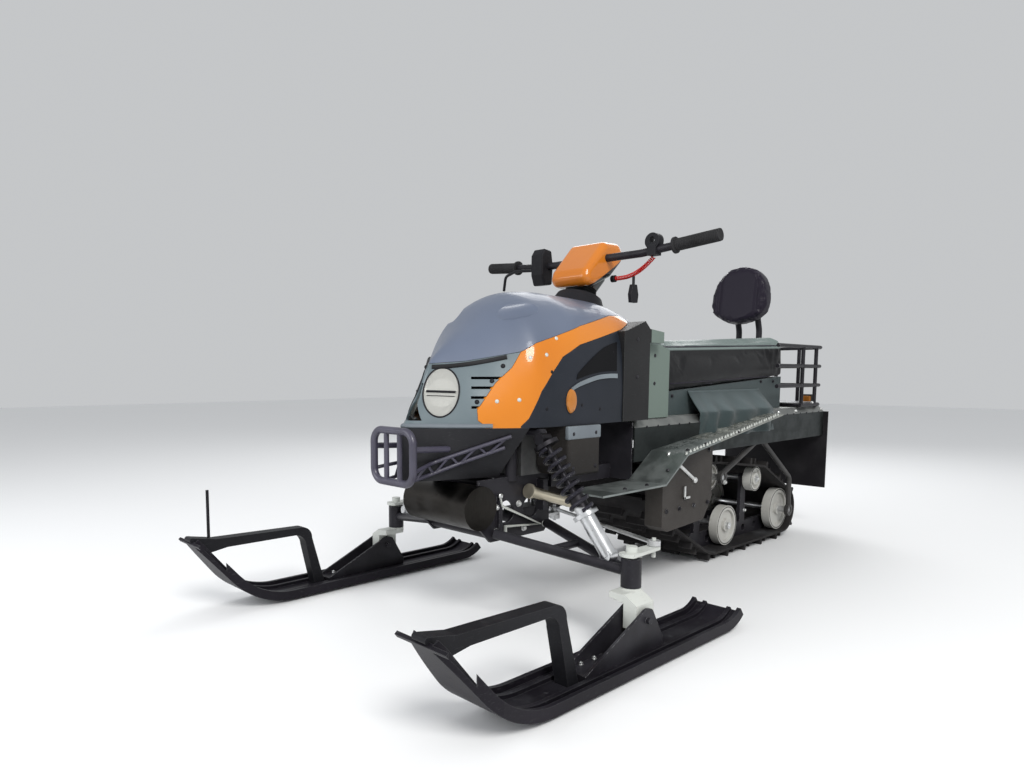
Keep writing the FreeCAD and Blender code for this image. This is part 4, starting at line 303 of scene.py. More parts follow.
# What a recipe uses where a finish says nothing else.
usual = {
    moulded: dict(worn=(0.16, 0.165, 0.17), wear=0.3, scuff=0.08, dust=0.08, grain=850, depth=0.0002,
                  rough=0.42, gleam=0.12),
    glossy: dict(worn=(0.22, 0.25, 0.3), wear=0.35, gleam=0.5, depth=0.0003),
    coated: dict(wear=0.8, dust=0.10, gleam=0.18),
    plated: dict(streaks=90, along=(0.2, 4, 1)),
    rubbery: dict(wear=0.4),
    vinyl: dict(band=facingUp, sheen=0.02, dust=0.03),
    clearLens: dict(depth=0.0006),
}
nearBlack = (0.010, 0.008, 0.010)
paleOrange = (0.90, 0.42, 0.16)
finishes = {
    moulded: {
        "ski_plastic": dict(colour=(0.009, 0.008, 0.011), shade=(0.014, 0.012, 0.017), scuff=0.16,
            grain=500, rough=0.36),
        "black_plastic": dict(colour=(0.010, 0.010, 0.012), shade=(0.016, 0.016, 0.019), wear=0.25,
            grain=900, depth=0.00018),
        "brown_plastic": dict(colour=(0.030, 0.026, 0.024), shade=(0.055, 0.050, 0.046), wear=0.25,
            scuff=0.16, dust=0.20, grain=700, rough=0.46),
        "wheel_white": dict(colour=(0.56, 0.56, 0.53), shade=(0.42, 0.41, 0.38), worn=(0.2, 0.19, 0.18),
            scuff=0.25, dust=0.1, grain=600, rough=0.45),
        "cord_red": dict(colour=(0.52, 0.020, 0.016), shade=(0.42, 0.014, 0.012), worn=(0.7, 0.2, 0.18),
            wear=0.2, scuff=0.05, dust=0.04, grain=900, depth=0.0001, rough=0.32),
        "pale_steel": dict(colour=(0.62, 0.64, 0.60), shade=(0.50, 0.52, 0.49), worn=(0.34, 0.34, 0.33),
            wear=0.5, scuff=0.2, grain=500, depth=0.00012, rough=0.30, gleam=0.6),
        "pan_grey": dict(colour=(0.032, 0.032, 0.035), shade=(0.024, 0.024, 0.027), wear=0.25, scuff=0.10,
            dust=0.06, grain=800),
        "door_grey": dict(colour=(0.013, 0.016, 0.022), shade=(0.019, 0.022, 0.030),
            worn=(0.12, 0.13, 0.14), scuff=0.06, dust=0.04, depth=0.00016, rough=0.36, gleam=0.2),
        "recess_black": dict(colour=(0.003, 0.003, 0.004), shade=(0.006, 0.006, 0.007),
            worn=(0.02, 0.02, 0.02), wear=0.2, scuff=0.05, dust=0.02, depth=0.0001, rough=0.40, gleam=0.1),
        "trim_grey": dict(colour=(0.20, 0.23, 0.25), shade=(0.15, 0.17, 0.19), worn=(0.3, 0.32, 0.33),
            dust=0.06, depth=0.00012, rough=0.30),
        "console_two": dict(colour=(0.017, 0.017, 0.018), shade=(0.024, 0.024, 0.025),
            worn=(0.25, 0.27, 0.26), scuff=0.06, dust=0.05, depth=0.00016, rough=0.40,
            second=("X", 0.1335, 0.1345, (0.150, 0.190, 0.168))),
        "side_box": dict(colour=(0.022, 0.020, 0.019), shade=(0.030, 0.027, 0.025), wear=0.25, scuff=0.10,
            dust=0.12, grain=700),
    },
    glossy: {
        "orange_gloss": dict(colour=(0.64, 0.205, 0.014), shade=(0.57, 0.170, 0.010), worn=paleOrange,
            dust=0.03, rough=0.26, coat=0.7, gleam=0.15, depth=0.0004),
        "pod_gloss": dict(colour=(0.60, 0.190, 0.018), shade=(0.53, 0.155, 0.013), worn=paleOrange,
            wear=0.3, dust=0.02, rough=0.28, coat=0.7, gleam=0.15, depth=0.0004,
            second=("Z", 0.8755, 0.8765, nearBlack), under=(0.573, 1.001, 1.003, nearBlack)),
        "hood_grey": dict(colour=(0.118, 0.144, 0.205), shade=(0.094, 0.116, 0.168), dust=0.04, rough=0.40,
            coat=0.22),
        "nose_grey": dict(colour=(0.116, 0.152, 0.168), shade=(0.092, 0.122, 0.136), dust=0.05, rough=0.32,
            coat=0.5),
        "lamp_red": dict(colour=(0.30, 0.010, 0.008), shade=(0.22, 0.008, 0.006), worn=(0.4, 0.1, 0.1),
            wear=0.2, dust=0.08, rough=0.18, coat=1.0),
    },
    coated: {
        "black_metal": dict(colour=(0.013, 0.012, 0.015), shade=(0.024, 0.023, 0.028), rough=0.30),
        "spring_black": dict(colour=(0.012, 0.011, 0.016), shade=(0.020, 0.019, 0.028), wear=0.5, dust=0.05,
            rough=0.20),
        "bumper_grey": dict(colour=(0.060, 0.056, 0.084), shade=(0.042, 0.039, 0.060), wear=0.6, dust=0.06,
            rough=0.24, gleam=0.6),
        "strut_grey": dict(colour=(0.055, 0.053, 0.052), shade=(0.035, 0.034, 0.034), rough=0.34),
    },
    plated: {
        "silver_metal": dict(colour=(0.70, 0.71, 0.72), shade=(0.42, 0.42, 0.42), streaks=60,
            along=(1, 1, 5), dust=0.05, rough=0.24),
        "aluminium": dict(colour=(0.62, 0.63, 0.64), shade=(0.45, 0.46, 0.47), dust=0.12, rough=0.34),
        "engine_metal": dict(colour=(0.20, 0.20, 0.20), shade=(0.12, 0.12, 0.12), streaks=40,
            along=(1, 1, 1), dust=0.1, rough=0.5),
        "lamp_bowl": dict(colour=(0.86, 0.86, 0.84), shade=(0.62, 0.62, 0.60), streaks=30, along=(1, 1, 1),
            dust=0.02, rough=0.12),
        "zinc": dict(colour=(0.78, 0.79, 0.78), shade=(0.52, 0.52, 0.51), streaks=120, along=(1, 1, 3),
            dust=0.04, rough=0.22),
        "exhaust": dict(colour=(0.035, 0.032, 0.029), shade=(0.022, 0.020, 0.018), streaks=50,
            along=(4, 1, 1), dust=0.03, rough=0.24, second=("X", 0.636, 0.642, (0.66, 0.60, 0.47))),
        "board_metal": dict(colour=(0.30, 0.33, 0.32), shade=(0.17, 0.185, 0.18), dust=0.08, rough=0.36,
            second=("X", -0.115, -0.105, (0.36, 0.37, 0.34))),
        "tunnel_metal": dict(colour=(0.045, 0.052, 0.052), shade=(0.028, 0.032, 0.032), dust=0.06,
            rough=0.40, upper=(0.50, 0.51, 0.49)),
        "shock_body": dict(colour=(0.020, 0.019, 0.022), shade=(0.030, 0.028, 0.033), streaks=60,
            along=(1, 1, 4), dust=0.03, rough=0.24, second=("Z", 0.315, 0.322, (0.66, 0.67, 0.68))),
    },
    rubbery: {
        "grip_rubber": dict(colour=(0.017, 0.017, 0.018), shade=(0.028, 0.028, 0.03),
            worn=(0.08, 0.08, 0.08), dust=0.08, rough=0.6, depth=0.0004),
        "track_rubber": dict(colour=(0.016, 0.015, 0.016), shade=(0.032, 0.030, 0.030),
            worn=(0.09, 0.085, 0.08), wear=0.5, dust=0.22, rough=0.66, depth=0.0006),
        "flap_rubber": dict(colour=(0.012, 0.011, 0.013), shade=(0.022, 0.021, 0.023),
            worn=(0.07, 0.07, 0.07), dust=0.04, rough=0.55, depth=0.0005),
    },
    # Each vinyl's top colour is painted light: a paler seat top as painted sheen, and paler upward faces on the
    # back pad and skirts as painted light from above.
    vinyl: {
        "seat_vinyl": dict(colour=(0.014, 0.014, 0.014), shade=(0.009, 0.009, 0.010),
            top=(0.19, 0.235, 0.225), band=paintedSheenBand, rough=0.40, depth=0.0004),
        "pad_vinyl": dict(colour=(0.009, 0.007, 0.014), shade=(0.014, 0.011, 0.020),
            top=(0.030, 0.026, 0.040), rough=0.36, depth=0.0003),
        "skirt_vinyl": dict(colour=(0.062, 0.088, 0.091), shade=(0.037, 0.053, 0.055),
            top=(0.10, 0.13, 0.135), sheen=0.1, dust=0.06, rough=0.38, depth=0.0007),
    },
    clearLens: {
        "lamp_glass": dict(colour=(0.74, 0.74, 0.70), shade=(0.48, 0.49, 0.48), through=0.55, rough=0.04),
        "amber_lens": dict(colour=(0.52, 0.19, 0.03), shade=(0.36, 0.11, 0.02), through=0.15, rough=0.08),
    },
}
materials = {}
for recipe, looks in finishes.items():
    for name, look in looks.items():
        paint = Paint(name)
        materials[name] = paint.done(recipe(paint, usual[recipe] | look))
print("finishes:", len(materials))

# Nodes whose finish differs from the record's slot, or that hold two mouldings.
nodeLooks = {
    "silencer": "exhaust", "fascia": "nose_grey", "lower_panels": "door_grey", "console": "console_two",
    "handlebar_pod": "pod_gloss", "footboards": "board_metal", "spindle_left": "pale_steel",
    "spindle_right": "pale_steel", "side_covers": "side_box", "seat_base": "skirt_vinyl",
    "tunnel": "tunnel_metal", "shock_dampers": "shock_body", "skid_struts": "strut_grey",
    "front_bumper": "bumper_grey", "belly_pan": "pan_grey",
}
for sub in frame["record"]["subparts"]:
    node = cadNodes[sub["node"]]
    node.data.materials.clear()
    node.data.materials.append(materials[nodeLooks.get(sub["node"], sub["material_slot"])])

# Camera where the photograph was taken, in pixels of the 1024 by 768 picture.
photo = {"wide": 1024, "high": 768}
lens = {"place": (1.891, 1.326, 0.628), "yaw": 3.978, "pitch": -0.099, "focal": 716.1,
        "centre": (450.5, 444.9)}


def linked(name, data):
    thing = bpy.data.objects.new(name, data)
    bpy.context.scene.collection.objects.link(thing)
    return thing


def aim(thing, place, heading):
    thing.location = place
    thing.rotation_mode = "QUATERNION"
    thing.rotation_quaternion = heading.to_track_quat("-Z", "Y")


def cameraHeading():
    flat = math.cos(lens["pitch"])
    return Vector((math.cos(lens["yaw"]) * flat, math.sin(lens["yaw"]) * flat, math.sin(lens["pitch"])))


def makeCamera():
    data = bpy.data.cameras.new("camera")
    data.sensor_width = 36
    data.lens = lens["focal"] / photo["wide"] * data.sensor_width
    data.shift_x = (photo["wide"] / 2 - lens["centre"][0]) / photo["wide"]
    data.shift_y = (lens["centre"][1] - photo["high"] / 2) / photo["wide"]
    camera = linked("camera", data)
    aim(camera, lens["place"], cameraHeading())
    bpy.context.scene.camera = camera


studio = {
    "world": (0.96, 0.98, 1), "strength": 0.58, "aim": (0, 0, 0.4), "floor": 14,
    "lights": {
        "key": {"place": (2.2, 3.2, 3.4), "size": 1.8, "power": 150, "colour": (1, 0.99, 0.97)},
        "fill": {"place": (3.6, -1.4, 1.8), "size": 2.4, "power": 45, "colour": (0.95, 0.97, 1)},
        "back": {"place": (-2.8, -1.6, 2.8), "size": 2.6, "power": 48, "colour": (1, 1, 1)},
    },
}


def makeStudio():
    bpy.context.scene.view_settings.view_transform = "Standard"
    world = bpy.data.worlds.new("studio")
    world.use_nodes = True
    sky = world.node_tree.nodes["Background"].inputs
    sky["Color"].default_value = (*studio["world"], 1)
    sky["Strength"].default_value = studio["strength"]
    bpy.context.scene.world = world
    for name, light in studio["lights"].items():
        data = bpy.data.lights.new(name, "AREA")
        data.shape = "DISK"
        data.size = light["size"]
        data.energy = light["power"]
        data.color = light["colour"]
        aim(linked(name, data), light["place"], Vector(studio["aim"]) - Vector(light["place"]))
    reach = studio["floor"]
    mesh = bpy.data.meshes.new("floor")
    mesh.from_pydata([(-reach, -reach, 0), (reach, -reach, 0), (reach, reach, 0), (-reach, reach, 0)], [],
                     [(0, 1, 2, 3)])
    paint = Paint("floor_paper")
    mesh.materials.append(paint.done({
        "Base Color": paint.mix(paint.noise(2, 4) * 0.2, (0.90, 0.905, 0.91), (0.86, 0.865, 0.875)),
        "Roughness": 0.85 + paint.noise(5, 2) * 0.1,
    }))
    floor = linked("floor", mesh)


trees = {}


def treeOf(name):
    if name not in trees:
        mesh = (cadNodes.get(name) or bpy.data.objects[name]).data
        trees[name] = BVHTree.FromPolygons([vert.co for vert in mesh.vertices],
                                           [face.vertices for face in mesh.polygons])
    return trees[name]


def castOn(names, start, direction):
    # the first place and normal that a ray meets on any of these pieces
    found = None
    for name in names:
        place, normal, index, far = treeOf(name).ray_cast(Vector(start), Vector(direction).normalized())
        if place is not None and (found is None or far < found[2]):
            found = (place, normal, far)
    return found and found[:2]


def photoRay(px, py):
    # from the camera through a pixel of the photograph
    ahead = cameraHeading()
    right = ahead.cross(Vector((0, 0, 1))).normalized()
    across = (px - lens["centre"][0]) / lens["focal"]
    upward = (lens["centre"][1] - py) / lens["focal"]
    return Vector(lens["place"]), (ahead + right * across + right.cross(ahead) * upward).normalized()


def underPixel(names, px, py):
    # what a pixel of the photograph falls on, with its normal turned outwards
    start, ray = photoRay(px, py)
    hit = castOn(names, start, ray)
    return hit and (hit[0], hit[1] if hit[1].dot(ray) < 0 else -hit[1])


def onPlane(px, py, axis, at):
    # where a pixel's ray meets the plane X, Y or Z = at (axis 0, 1 or 2)
    start, ray = photoRay(px, py)
    return start + ray * ((at - start[axis]) / ray[axis])


def sided(point, side):
    # the same on the left (1) or mirrored to the right (-1)
    return Vector((point[0], side * point[1], point[2]))


def compass(angle):
    return Vector((math.cos(angle), math.sin(angle), 0))


def circle(count):
    return [2 * math.pi * step / count for step in range(count)]


def addPiece(name, bm, look, body="root", crease=35):
    mesh = bpy.data.meshes.new(name)
    bmesh.ops.recalc_face_normals(bm, faces=bm.faces)
    bm.to_mesh(mesh)
    bm.free()
    for face in mesh.polygons:
        face.use_smooth = True
    mesh.set_sharp_from_angle(angle=math.radians(crease))
    mesh.materials.append(materials[look])
    piece = linked(name, mesh)
    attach(piece, body)
    return piece


def bridge(bm, rings, closed=False):
    # faces from ring to ring, and a cap on each end unless the ends meet
    for one, two in zip(rings, rings[1:] + (rings[:1] if closed else [])):
        for step in range(len(one)):
            after = (step + 1) % len(one)
            bm.faces.new((one[step], one[after], two[after], two[step]))
    if not closed:
        bm.faces.new(rings[0][::-1])
        bm.faces.new(rings[-1])


def weave(bm, grid):
    # faces of a sheet through rows of vertices
    for one, two in zip(grid, grid[1:]):
        for column in range(len(one) - 1):
            bm.faces.new((one[column], one[column + 1], two[column + 1], two[column]))


def spin(bm, place, axis, profile, sides=20):
    # turns a profile of (radius, distance along) round an axis
    turn = Vector(axis).normalized().to_track_quat("Z", "X")
    bridge(bm, [[bm.verts.new(Vector(place) + turn @ (compass(angle) * radius + Vector((0, 0, along))))
                 for angle in circle(sides)] for radius, along in profile])


def scaled(size, profile):
    return [(size * radius, size * along) for radius, along in profile]


def hexBolt(bm, place, axis, size):
    # a washer with a chamfered hexagon head and the end of its thread
    place, axis = Vector(place), Vector(axis).normalized()
    spin(bm, place, axis, scaled(size, [(1, 0), (1, 0.16), (0.93, 0.22)]), 20)
    head = place + axis * size * 0.2
    spin(bm, head, axis, scaled(size, [(0.80, 0), (0.80, 0.50), (0.68, 0.62)]), 6)
    spin(bm, head + axis * size * 0.6, axis, scaled(size, [(0.36, 0), (0.36, 0.18), (0.28, 0.24)]), 12)


def roundHead(bm, place, axis, size):
    # a domed rivet or push pin
    spin(bm, place, axis, scaled(size, [(1, 0), (1, 0.12), (0.86, 0.32), (0.52, 0.48), (0.15, 0.53)]), 16)


# How deep a head sits in what it holds.
sunk = {"pin": 0.0005, "bolt": 0.0003}


def fasten(bm, names, start, heading, size, kind=hexBolt, depth=0.0):
    # a bolt or pin where a ray lands, facing the way the ray came
    hit = castOn(names, start, heading)
    if hit:
        kind(bm, hit[0] + Vector(heading) * depth, -Vector(heading), size)


def pinsAt(bm, names, pixels, side, size):
    # round heads at pixels of the photograph, mirrored for the far side
    for px, py in pixels:
        place, outward = [sided(vector, side) for vector in underPixel(names, px, py)]
        roundHead(bm, place - outward * sunk["pin"], outward, size)


def smoothLine(points, steps):
    # a curve through the points
    points = [Vector(point) for point in points]
    line = []
    for index in range(len(points) - 1):
        before = points[max(index - 1, 0)]
        one, two = points[index], points[index + 1]
        after = points[min(index + 2, len(points) - 1)]
        for step in range(steps):
            share = step / steps
            line.append(0.5 * (2 * one + (two - before) * share
                               + (2 * before - 5 * one + 4 * two - after) * share ** 2
                               + (3 * one - before - 3 * two + after) * share ** 3))
    return line + [points[-1]]


def carried(across, heading):
    # a direction across the heading, turned as little as can be from the one before
    across = across or heading.orthogonal().normalized()
    return (across - heading * across.dot(heading)).normalized()


def sweep(bm, line, radius, sides=10, closed=False, flat=1.0):
    # a bar along a line of points; flat below 1 thins it across its width
    line = [Vector(point) for point in line]
    count = len(line)
    across = None
    rings = []
    for index, point in enumerate(line):
        ahead = line[(index + 1) % count] if closed or index < count - 1 else point
        behind = line[index - 1] if closed or index else point
        heading = (ahead - behind).normalized()
        across = carried(across, heading)
        other = heading.cross(across) * flat
        rings.append([bm.verts.new(point + (across * math.cos(angle) + other * math.sin(angle)) * radius)
                      for angle in circle(sides)])
    bridge(bm, rings, closed)


def block(bm, low, high, soften):
    # a box between two corners with rounded edges
    made = bmesh.ops.create_cube(bm, size=1)["verts"]
    for vert in made:
        vert.co = Vector([one + (two - one) * (vert.co[axis] + 0.5)
                          for axis, (one, two) in enumerate(zip(low, high))])
    edges = list({edge for vert in made for edge in vert.link_edges})
    bmesh.ops.bevel(bm, geom=edges, offset=soften, segments=3, affect="EDGES", profile=0.5)


def skinPatch(bm, spots, lift, thick):
    # a thin plate on the skin through a grid of (place, outward normal), closed all round
    top = [[bm.verts.new(place + normal * (lift + thick)) for place, normal in row] for row in spots]
    low = [[bm.verts.new(place + normal * lift) for place, normal in row] for row in spots]
    rows, columns = len(spots), len(spots[0])
    weave(bm, top)
    weave(bm, low)
    rim = ([(0, column) for column in range(columns)] + [(row, columns - 1) for row in range(1, rows)]
           + [(rows - 1, column) for column in range(columns - 2, -1, -1)]
           + [(row, 0) for row in range(rows - 2, 0, -1)])
    for one, two in zip(rim, rim[1:] + rim[:1]):
        bm.faces.new((top[one[0]][one[1]], low[one[0]][one[1]], low[two[0]][two[1]], top[two[0]][two[1]]))


def alongLine(line, share):
    at = share * (len(line) - 1)
    step = min(int(at), len(line) - 2)
    return line[step].lerp(line[step + 1], at - step)


def pixelBand(names, lower, upper, side, rows=7, columns=26):
    # a grid of hits between two lines that are read off the photograph, mirrored for the far side
    lines = [smoothLine([(px, py, 0) for px, py in way], 8) for way in (lower, upper)]
    hit = None
    spots = []
    for row in range(rows):
        line = []
        for column in range(columns):
            low, high = [alongLine(way, column / (columns - 1)) for way in lines]
            pixel = low.lerp(high, row / (rows - 1))
            hit = underPixel(names, pixel.x, pixel.y) or hit
            line.append([sided(vector, side) for vector in hit])
        spots.append(line)
    return spots


# The stop cord: a red curly cord from the switch to the stud on the pod, one helix round its route.
stopCord = {
    "route": [(0.14506, 0.218, 0.9445), (0.14306, 0.200, 0.930), (0.13906, 0.172, 0.914),
              (0.13306, 0.143, 0.905), (0.12706, 0.114, 0.901), (0.12306, 0.0803, 0.902)],
    "diameter": 0.013, "strand": 0.0017, "turns": 26, "turnSteps": 14, "length": 0.150,
}


def curveThrough(points):
    # the smooth route of the cord, which the solids follow too
    curve = bpy.data.curves.new("cord_route", "CURVE")
    curve.dimensions = "3D"
    curve.resolution_u = 16
    spline = curve.splines.new("NURBS")
    spline.points.add(len(points) - 1)
    for point, place in zip(spline.points, points):
        point.co = (*place, 1)
    spline.order_u = 3
    spline.use_endpoint_u = True
    guide = linked("cord_route", curve)
    route = [vert.co.copy() for vert in bpy.data.meshes.new_from_object(guide).vertices]
    bpy.data.objects.remove(guide)
    return route


def makeStopCord():
    route = curveThrough(stopCord["route"])
    far = [0.0]
    for one, two in zip(route, route[1:]):
        far.append(far[-1] + (two - one).length)
    radius = stopCord["diameter"] / 2 - stopCord["strand"]
    steps = stopCord["turns"] * stopCord["turnSteps"]
    across = None
    helix = []
    for step in range(steps + 1):
        at = far[-1] * step / steps
        index = max(i for i in range(len(far) - 1) if far[i] <= at + 1e-9)
        spot = route[index].lerp(route[index + 1], (at - far[index]) / (far[index + 1] - far[index]))
        heading = (route[index + 1] - route[index]).normalized()
        across = carried(across, heading)
        angle = 2 * math.pi * stopCord["turns"] * step / steps
        helix.append(spot + (across * math.cos(angle) + heading.cross(across) * math.sin(angle)) * radius)
    bm = bmesh.new()
    sweep(bm, helix, stopCord["strand"], 8)
    cord = addPiece("stop_cord", bm, "cord_red", "handlebar")
    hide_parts("tether_cord")


def frozen(piece):
    return bpy.data.meshes.new_from_object(piece.evaluated_get(bpy.context.evaluated_depsgraph_get()))


def padFrom(name, soft):
    # a stuffed piece: the node's shape, evened out, puffed up as cloth and smoothed
    piece = linked(name, cadNodes[soft["node"]].data.copy())
    even = piece.modifiers.new("even", "REMESH")
    even.mode = "VOXEL"
    even.voxel_size = soft["voxel"]
    piece.data = frozen(piece)
    piece.modifiers.clear()
    normals = [vert.normal.copy() for vert in piece.data.vertices]
    for vert, normal in zip(piece.data.vertices, normals):
        vert.co -= normal * soft["shrink"]
    rest = [vert.co.copy() for vert in piece.data.vertices]
    held = piece.vertex_groups.new(name="held")
    for index, normal in enumerate(normals):
        held.add([index], 1.0 if normal.dot(Vector(soft["back"])) > 0.7 else 0.0, "REPLACE")
    cloth = piece.modifiers.new("cloth", "CLOTH")
    cloth.settings.quality = 5
    cloth.settings.use_pressure = True
    cloth.settings.uniform_pressure_force = soft["pressure"]
    cloth.settings.vertex_group_mass = "held"
    cloth.settings.effector_weights.gravity = 0
    cloth.point_cache.frame_start = 1
    cloth.point_cache.frame_end = soft["frames"]
    for number in range(1, soft["frames"] + 1):
        bpy.context.scene.frame_set(number)
    puffed = frozen(piece)
    for vert, was, now in zip(piece.data.vertices, rest, puffed.vertices):
        moved = now.co - was
        if moved.length > soft["cap"]:
            moved *= soft["cap"] / moved.length
        vert.co = was + moved
    piece.modifiers.clear()
    bpy.context.scene.frame_set(1)
    for vert in piece.data.vertices:
        vert.co += Vector(soft["sew"](vert.co))
    piece.data.materials.clear()
    piece.data.materials.append(materials[soft["look"]])
    for face in piece.data.polygons:
        face.use_smooth = True
    smooth = piece.modifiers.new("smooth", "SUBSURF")
    smooth.levels = smooth.render_levels = 1
    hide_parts(soft["node"])
    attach(piece, "root")
    return piece


def dip(value, centre, width, depth):
    # a rounded groove
    return -depth * math.exp(-((value - centre) / width) ** 2)


def seatEdge(x):
    # height of the seat's top along the vehicle
    return seatTop["high"] - seatTop["slope"] * x


# Each seam's place, width and depth, and from where on the pad it runs.
seams = {"channel": (-0.58, 0.007, 0.006), "above": 0.70, "edgeDrop": 0.026, "lowDrop": 0.138,
         "edge": (0.004, 0.003), "beyond": 0.10, "back": (0.072, 0.005, 0.004), "before": -0.80}


def sewSeat(place):
    # a channel across the seat behind the rider, a seam along each upper edge
    down = dip(place.x, *seams["channel"]) if place.z > seams["above"] else 0
    edge = seatEdge(place.x) - seams["edgeDrop"]
    inward = dip(place.z, edge, *seams["edge"]) if abs(place.y) > seams["beyond"] else 0
    return (0, math.copysign(1, place.y) * inward, down)


def sewBack(place):
    # two upright seams on the front of the back pad
    return (dip(abs(place.y), *seams["back"]) if place.x > seams["before"] else 0, 0, 0)


seatPad = {"node": "seat_cushion", "look": "seat_vinyl", "voxel": 0.008, "shrink": 0.006, "pressure": 4.0,
           "cap": 0.012, "frames": 20, "back": (0, 0, -1), "sew": sewSeat, "fill": 0.85}
backPad = {"node": "backrest_pad", "look": "pad_vinyl", "voxel": 0.006, "shrink": 0.004, "pressure": 2.0,
           "cap": 0.006, "frames": 20, "back": (-1, 0, 0), "sew": sewBack, "fill": 0.85}
welt = {"middle": -0.4445, "half": (0.40, 0.13), "square": 0.35, "steps": 120, "clear": 0.3,
        "rows": ((seams["edgeDrop"], 0.0026), (seams["lowDrop"], 0.0022))}


def piping(bm, drop, radius):
    # a welt round the seat pad: rays from outside in, a drop below its edge
    middle, (halfLong, halfWide) = welt["middle"], welt["half"]
    line = []
    for angle in circle(welt["steps"]):
        along, across = [math.copysign(abs(way) ** welt["square"], way) for way in compass(angle)[:2]]
        x = middle + halfLong * along
        height = seatEdge(x) - drop
        start = Vector((x, halfWide * across, height))
        inside = Vector((min(max(x, middle - halfLong + halfWide), middle + halfLong - halfWide), 0, height))
        start += (start - inside) * welt["clear"]
        hit = castOn(["seat_pad"], start, inside - start)
        if hit:
            line.append(hit[0])
    sweep(bm, line, radius, 8, closed=True)


def makeSoftGoods():
    seat = padFrom("seat_pad", seatPad)
    back = padFrom("back_pad", backPad)
    bm = bmesh.new()
    for drop, radius in welt["rows"]:
        piping(bm, drop, radius)
    addPiece("seat_piping", bm, "pad_vinyl")
    print("pads:", len(seat.data.vertices), len(back.data.vertices))


# Folded vinyl that closes the sides under the seat, hung from its base in soft upright folds.
skirt = {"fore": -0.19, "aft": -0.68, "top": 0.575, "low": 0.428, "columns": 100, "rows": 26,
         "root": 0.1425, "reach": 0.058, "outBy": 0.506, "gather": 0.05, "folds": 5, "deep": 0.0085,
         "crease": 0.004, "thick": 0.0016}


def skirtSpot(share, drop, side):
    # a place on the skirt, share of the way aft and drop of the way down
    x = skirt["fore"] + (skirt["aft"] - skirt["fore"]) * share + skirt["gather"] * drop * (0.5 - share)
    z = skirt["top"] + (skirt["low"] - skirt["top"]) * drop
    flare = min(1.0, (skirt["top"] - z) / (skirt["top"] - skirt["outBy"]))
    wave = math.sin(share * skirt["folds"] * 2 * math.pi + 2.2 * math.sin(share * 5) + 2.6 * drop)
    crease = abs(math.sin(share * 9.5 - drop * 3.4)) ** 5
    tucked = min(1.0, 12 * share, 12 * (1 - share))
    out = skirt["root"] + skirt["reach"] * flare ** 1.15 * (0.9 + 0.1 * tucked)
    out += skirt["crease"] * crease * flare * tucked
    out += skirt["deep"] * flare * tucked * (0.3 + 0.7 * drop) * (wave + 0.5)
    return (x, side * out, z)


def makeSkirts():
    lastRow, lastColumn = skirt["rows"] - 1, skirt["columns"] - 1
    for side, label in ((1, "left"), (-1, "right")):
        bm = bmesh.new()
        weave(bm, [[bm.verts.new(skirtSpot(column / lastColumn, row / lastRow, side))
                    for column in range(skirt["columns"])] for row in range(skirt["rows"])])
        piece = addPiece("seat_skirt_" + label, bm, "skirt_vinyl", crease=180)
        piece.modifiers.new("body", "SOLIDIFY").thickness = skirt["thick"]


# Headlamps: a silvered bowl behind each lens, with the dark bars and bezel that the photograph shows.
lamp = {
    "centre": (0.765, 0.045, 0.585), "facing": (0.771, 0.547, 0.324), "long": 0.084, "high": 0.121,
    "rim": 0.0015, "bezel": 0.0021, "seam": 0.002, "before": 0.2,
    "bars": ((0.001, 0.84, 0.0028), (-0.010, 0.80, 0.0010)), "barSteps": 13, "barLift": 0.0006,
    "bowl": [(0.036, 0), (0.036, 0.002), (0.032, 0.016), (0.022, 0.028), (0.010, 0.033)], "bowlBack": 0.010,
}


def makeLamps():
    bezels, bowls, bars = [bmesh.new() for piece in range(3)]
    for side in (1, -1):
        facing = sided(lamp["facing"], side).normalized()
        level = Vector((-facing.y, facing.x, 0)).normalized()
        centre, upright = sided(lamp["centre"], side), facing.cross(level)

        def onLamp(names, across, height):
            spot = centre + level * across + upright * height + facing * lamp["before"]
            hit = castOn(names, spot, -facing)
            return hit[0] if hit and hit[0].y * side > lamp["seam"] else None

        rim = [onLamp(["fascia", "headlamps"], (lamp["long"] / 2 + lamp["rim"]) * math.cos(angle),
                      (lamp["high"] / 2 + lamp["rim"]) * math.sin(angle)) for angle in circle(64)]
        sweep(bezels, [place for place in rim if place], lamp["bezel"], 8, closed=True)
        for height, share, thick in lamp["bars"]:
            line = [onLamp(["headlamps"], (step / (lamp["barSteps"] - 1) - 0.5) * lamp["long"] * share, height)
                    for step in range(lamp["barSteps"])]
            sweep(bars, [place + facing * lamp["barLift"] for place in line if place], thick, 8)
        spin(bowls, centre - facing * lamp["bowlBack"], -facing, lamp["bowl"], 32)
    addPiece("lamp_bezels", bezels, "black_plastic")
    addPiece("lamp_bowls", bowls, "lamp_bowl")
    addPiece("lamp_bars", bars, "black_plastic")


skin = ["hood", "side_panels", "lower_panels", "fascia"]

# Flank of the body: black recess with its light lower line, light strip, reflector and fasteners,
# in pixels of the photograph.
flank = {
    "recess": ([(576.5, 379.5), (590, 374.5), (604, 371.5), (616.5, 371)],
               [(577.5, 374), (590, 360), (604, 347.5), (616.5, 342)]),
    "strip": ([(571, 391), (580, 386), (596, 380), (608, 378.2), (616.5, 378.3)],
              [(571, 388), (580, 381.8), (596, 375.6), (608, 373.8), (616.5, 373.8)]),
    "lift": 0.0004, "recessThick": 0.0012, "stripThick": 0.0034,
    "studs": [(530.3, 357.5), (546.7, 354.8), (556.3, 338.3), (497, 401.4), (519.3, 400)], "studSize": 0.0050,
    "pins": [(582, 405), (600, 409), (613, 352), (547, 409), (552, 372)], "pinSize": 0.0044,
}
reflector = {
    "x": 0.485, "z": 0.561, "beside": 0.9, "half": (0.019, 0.030), "sunk": 0.003,
    "dome": [(1.0, 0.0), (1.0, 0.0045), (0.9, 0.0075), (0.55, 0.0095), (0.12, 0.0100)],
    "rim": [(1.12, 0.0), (1.12, 0.002475), (1.008, 0.004125)],
}


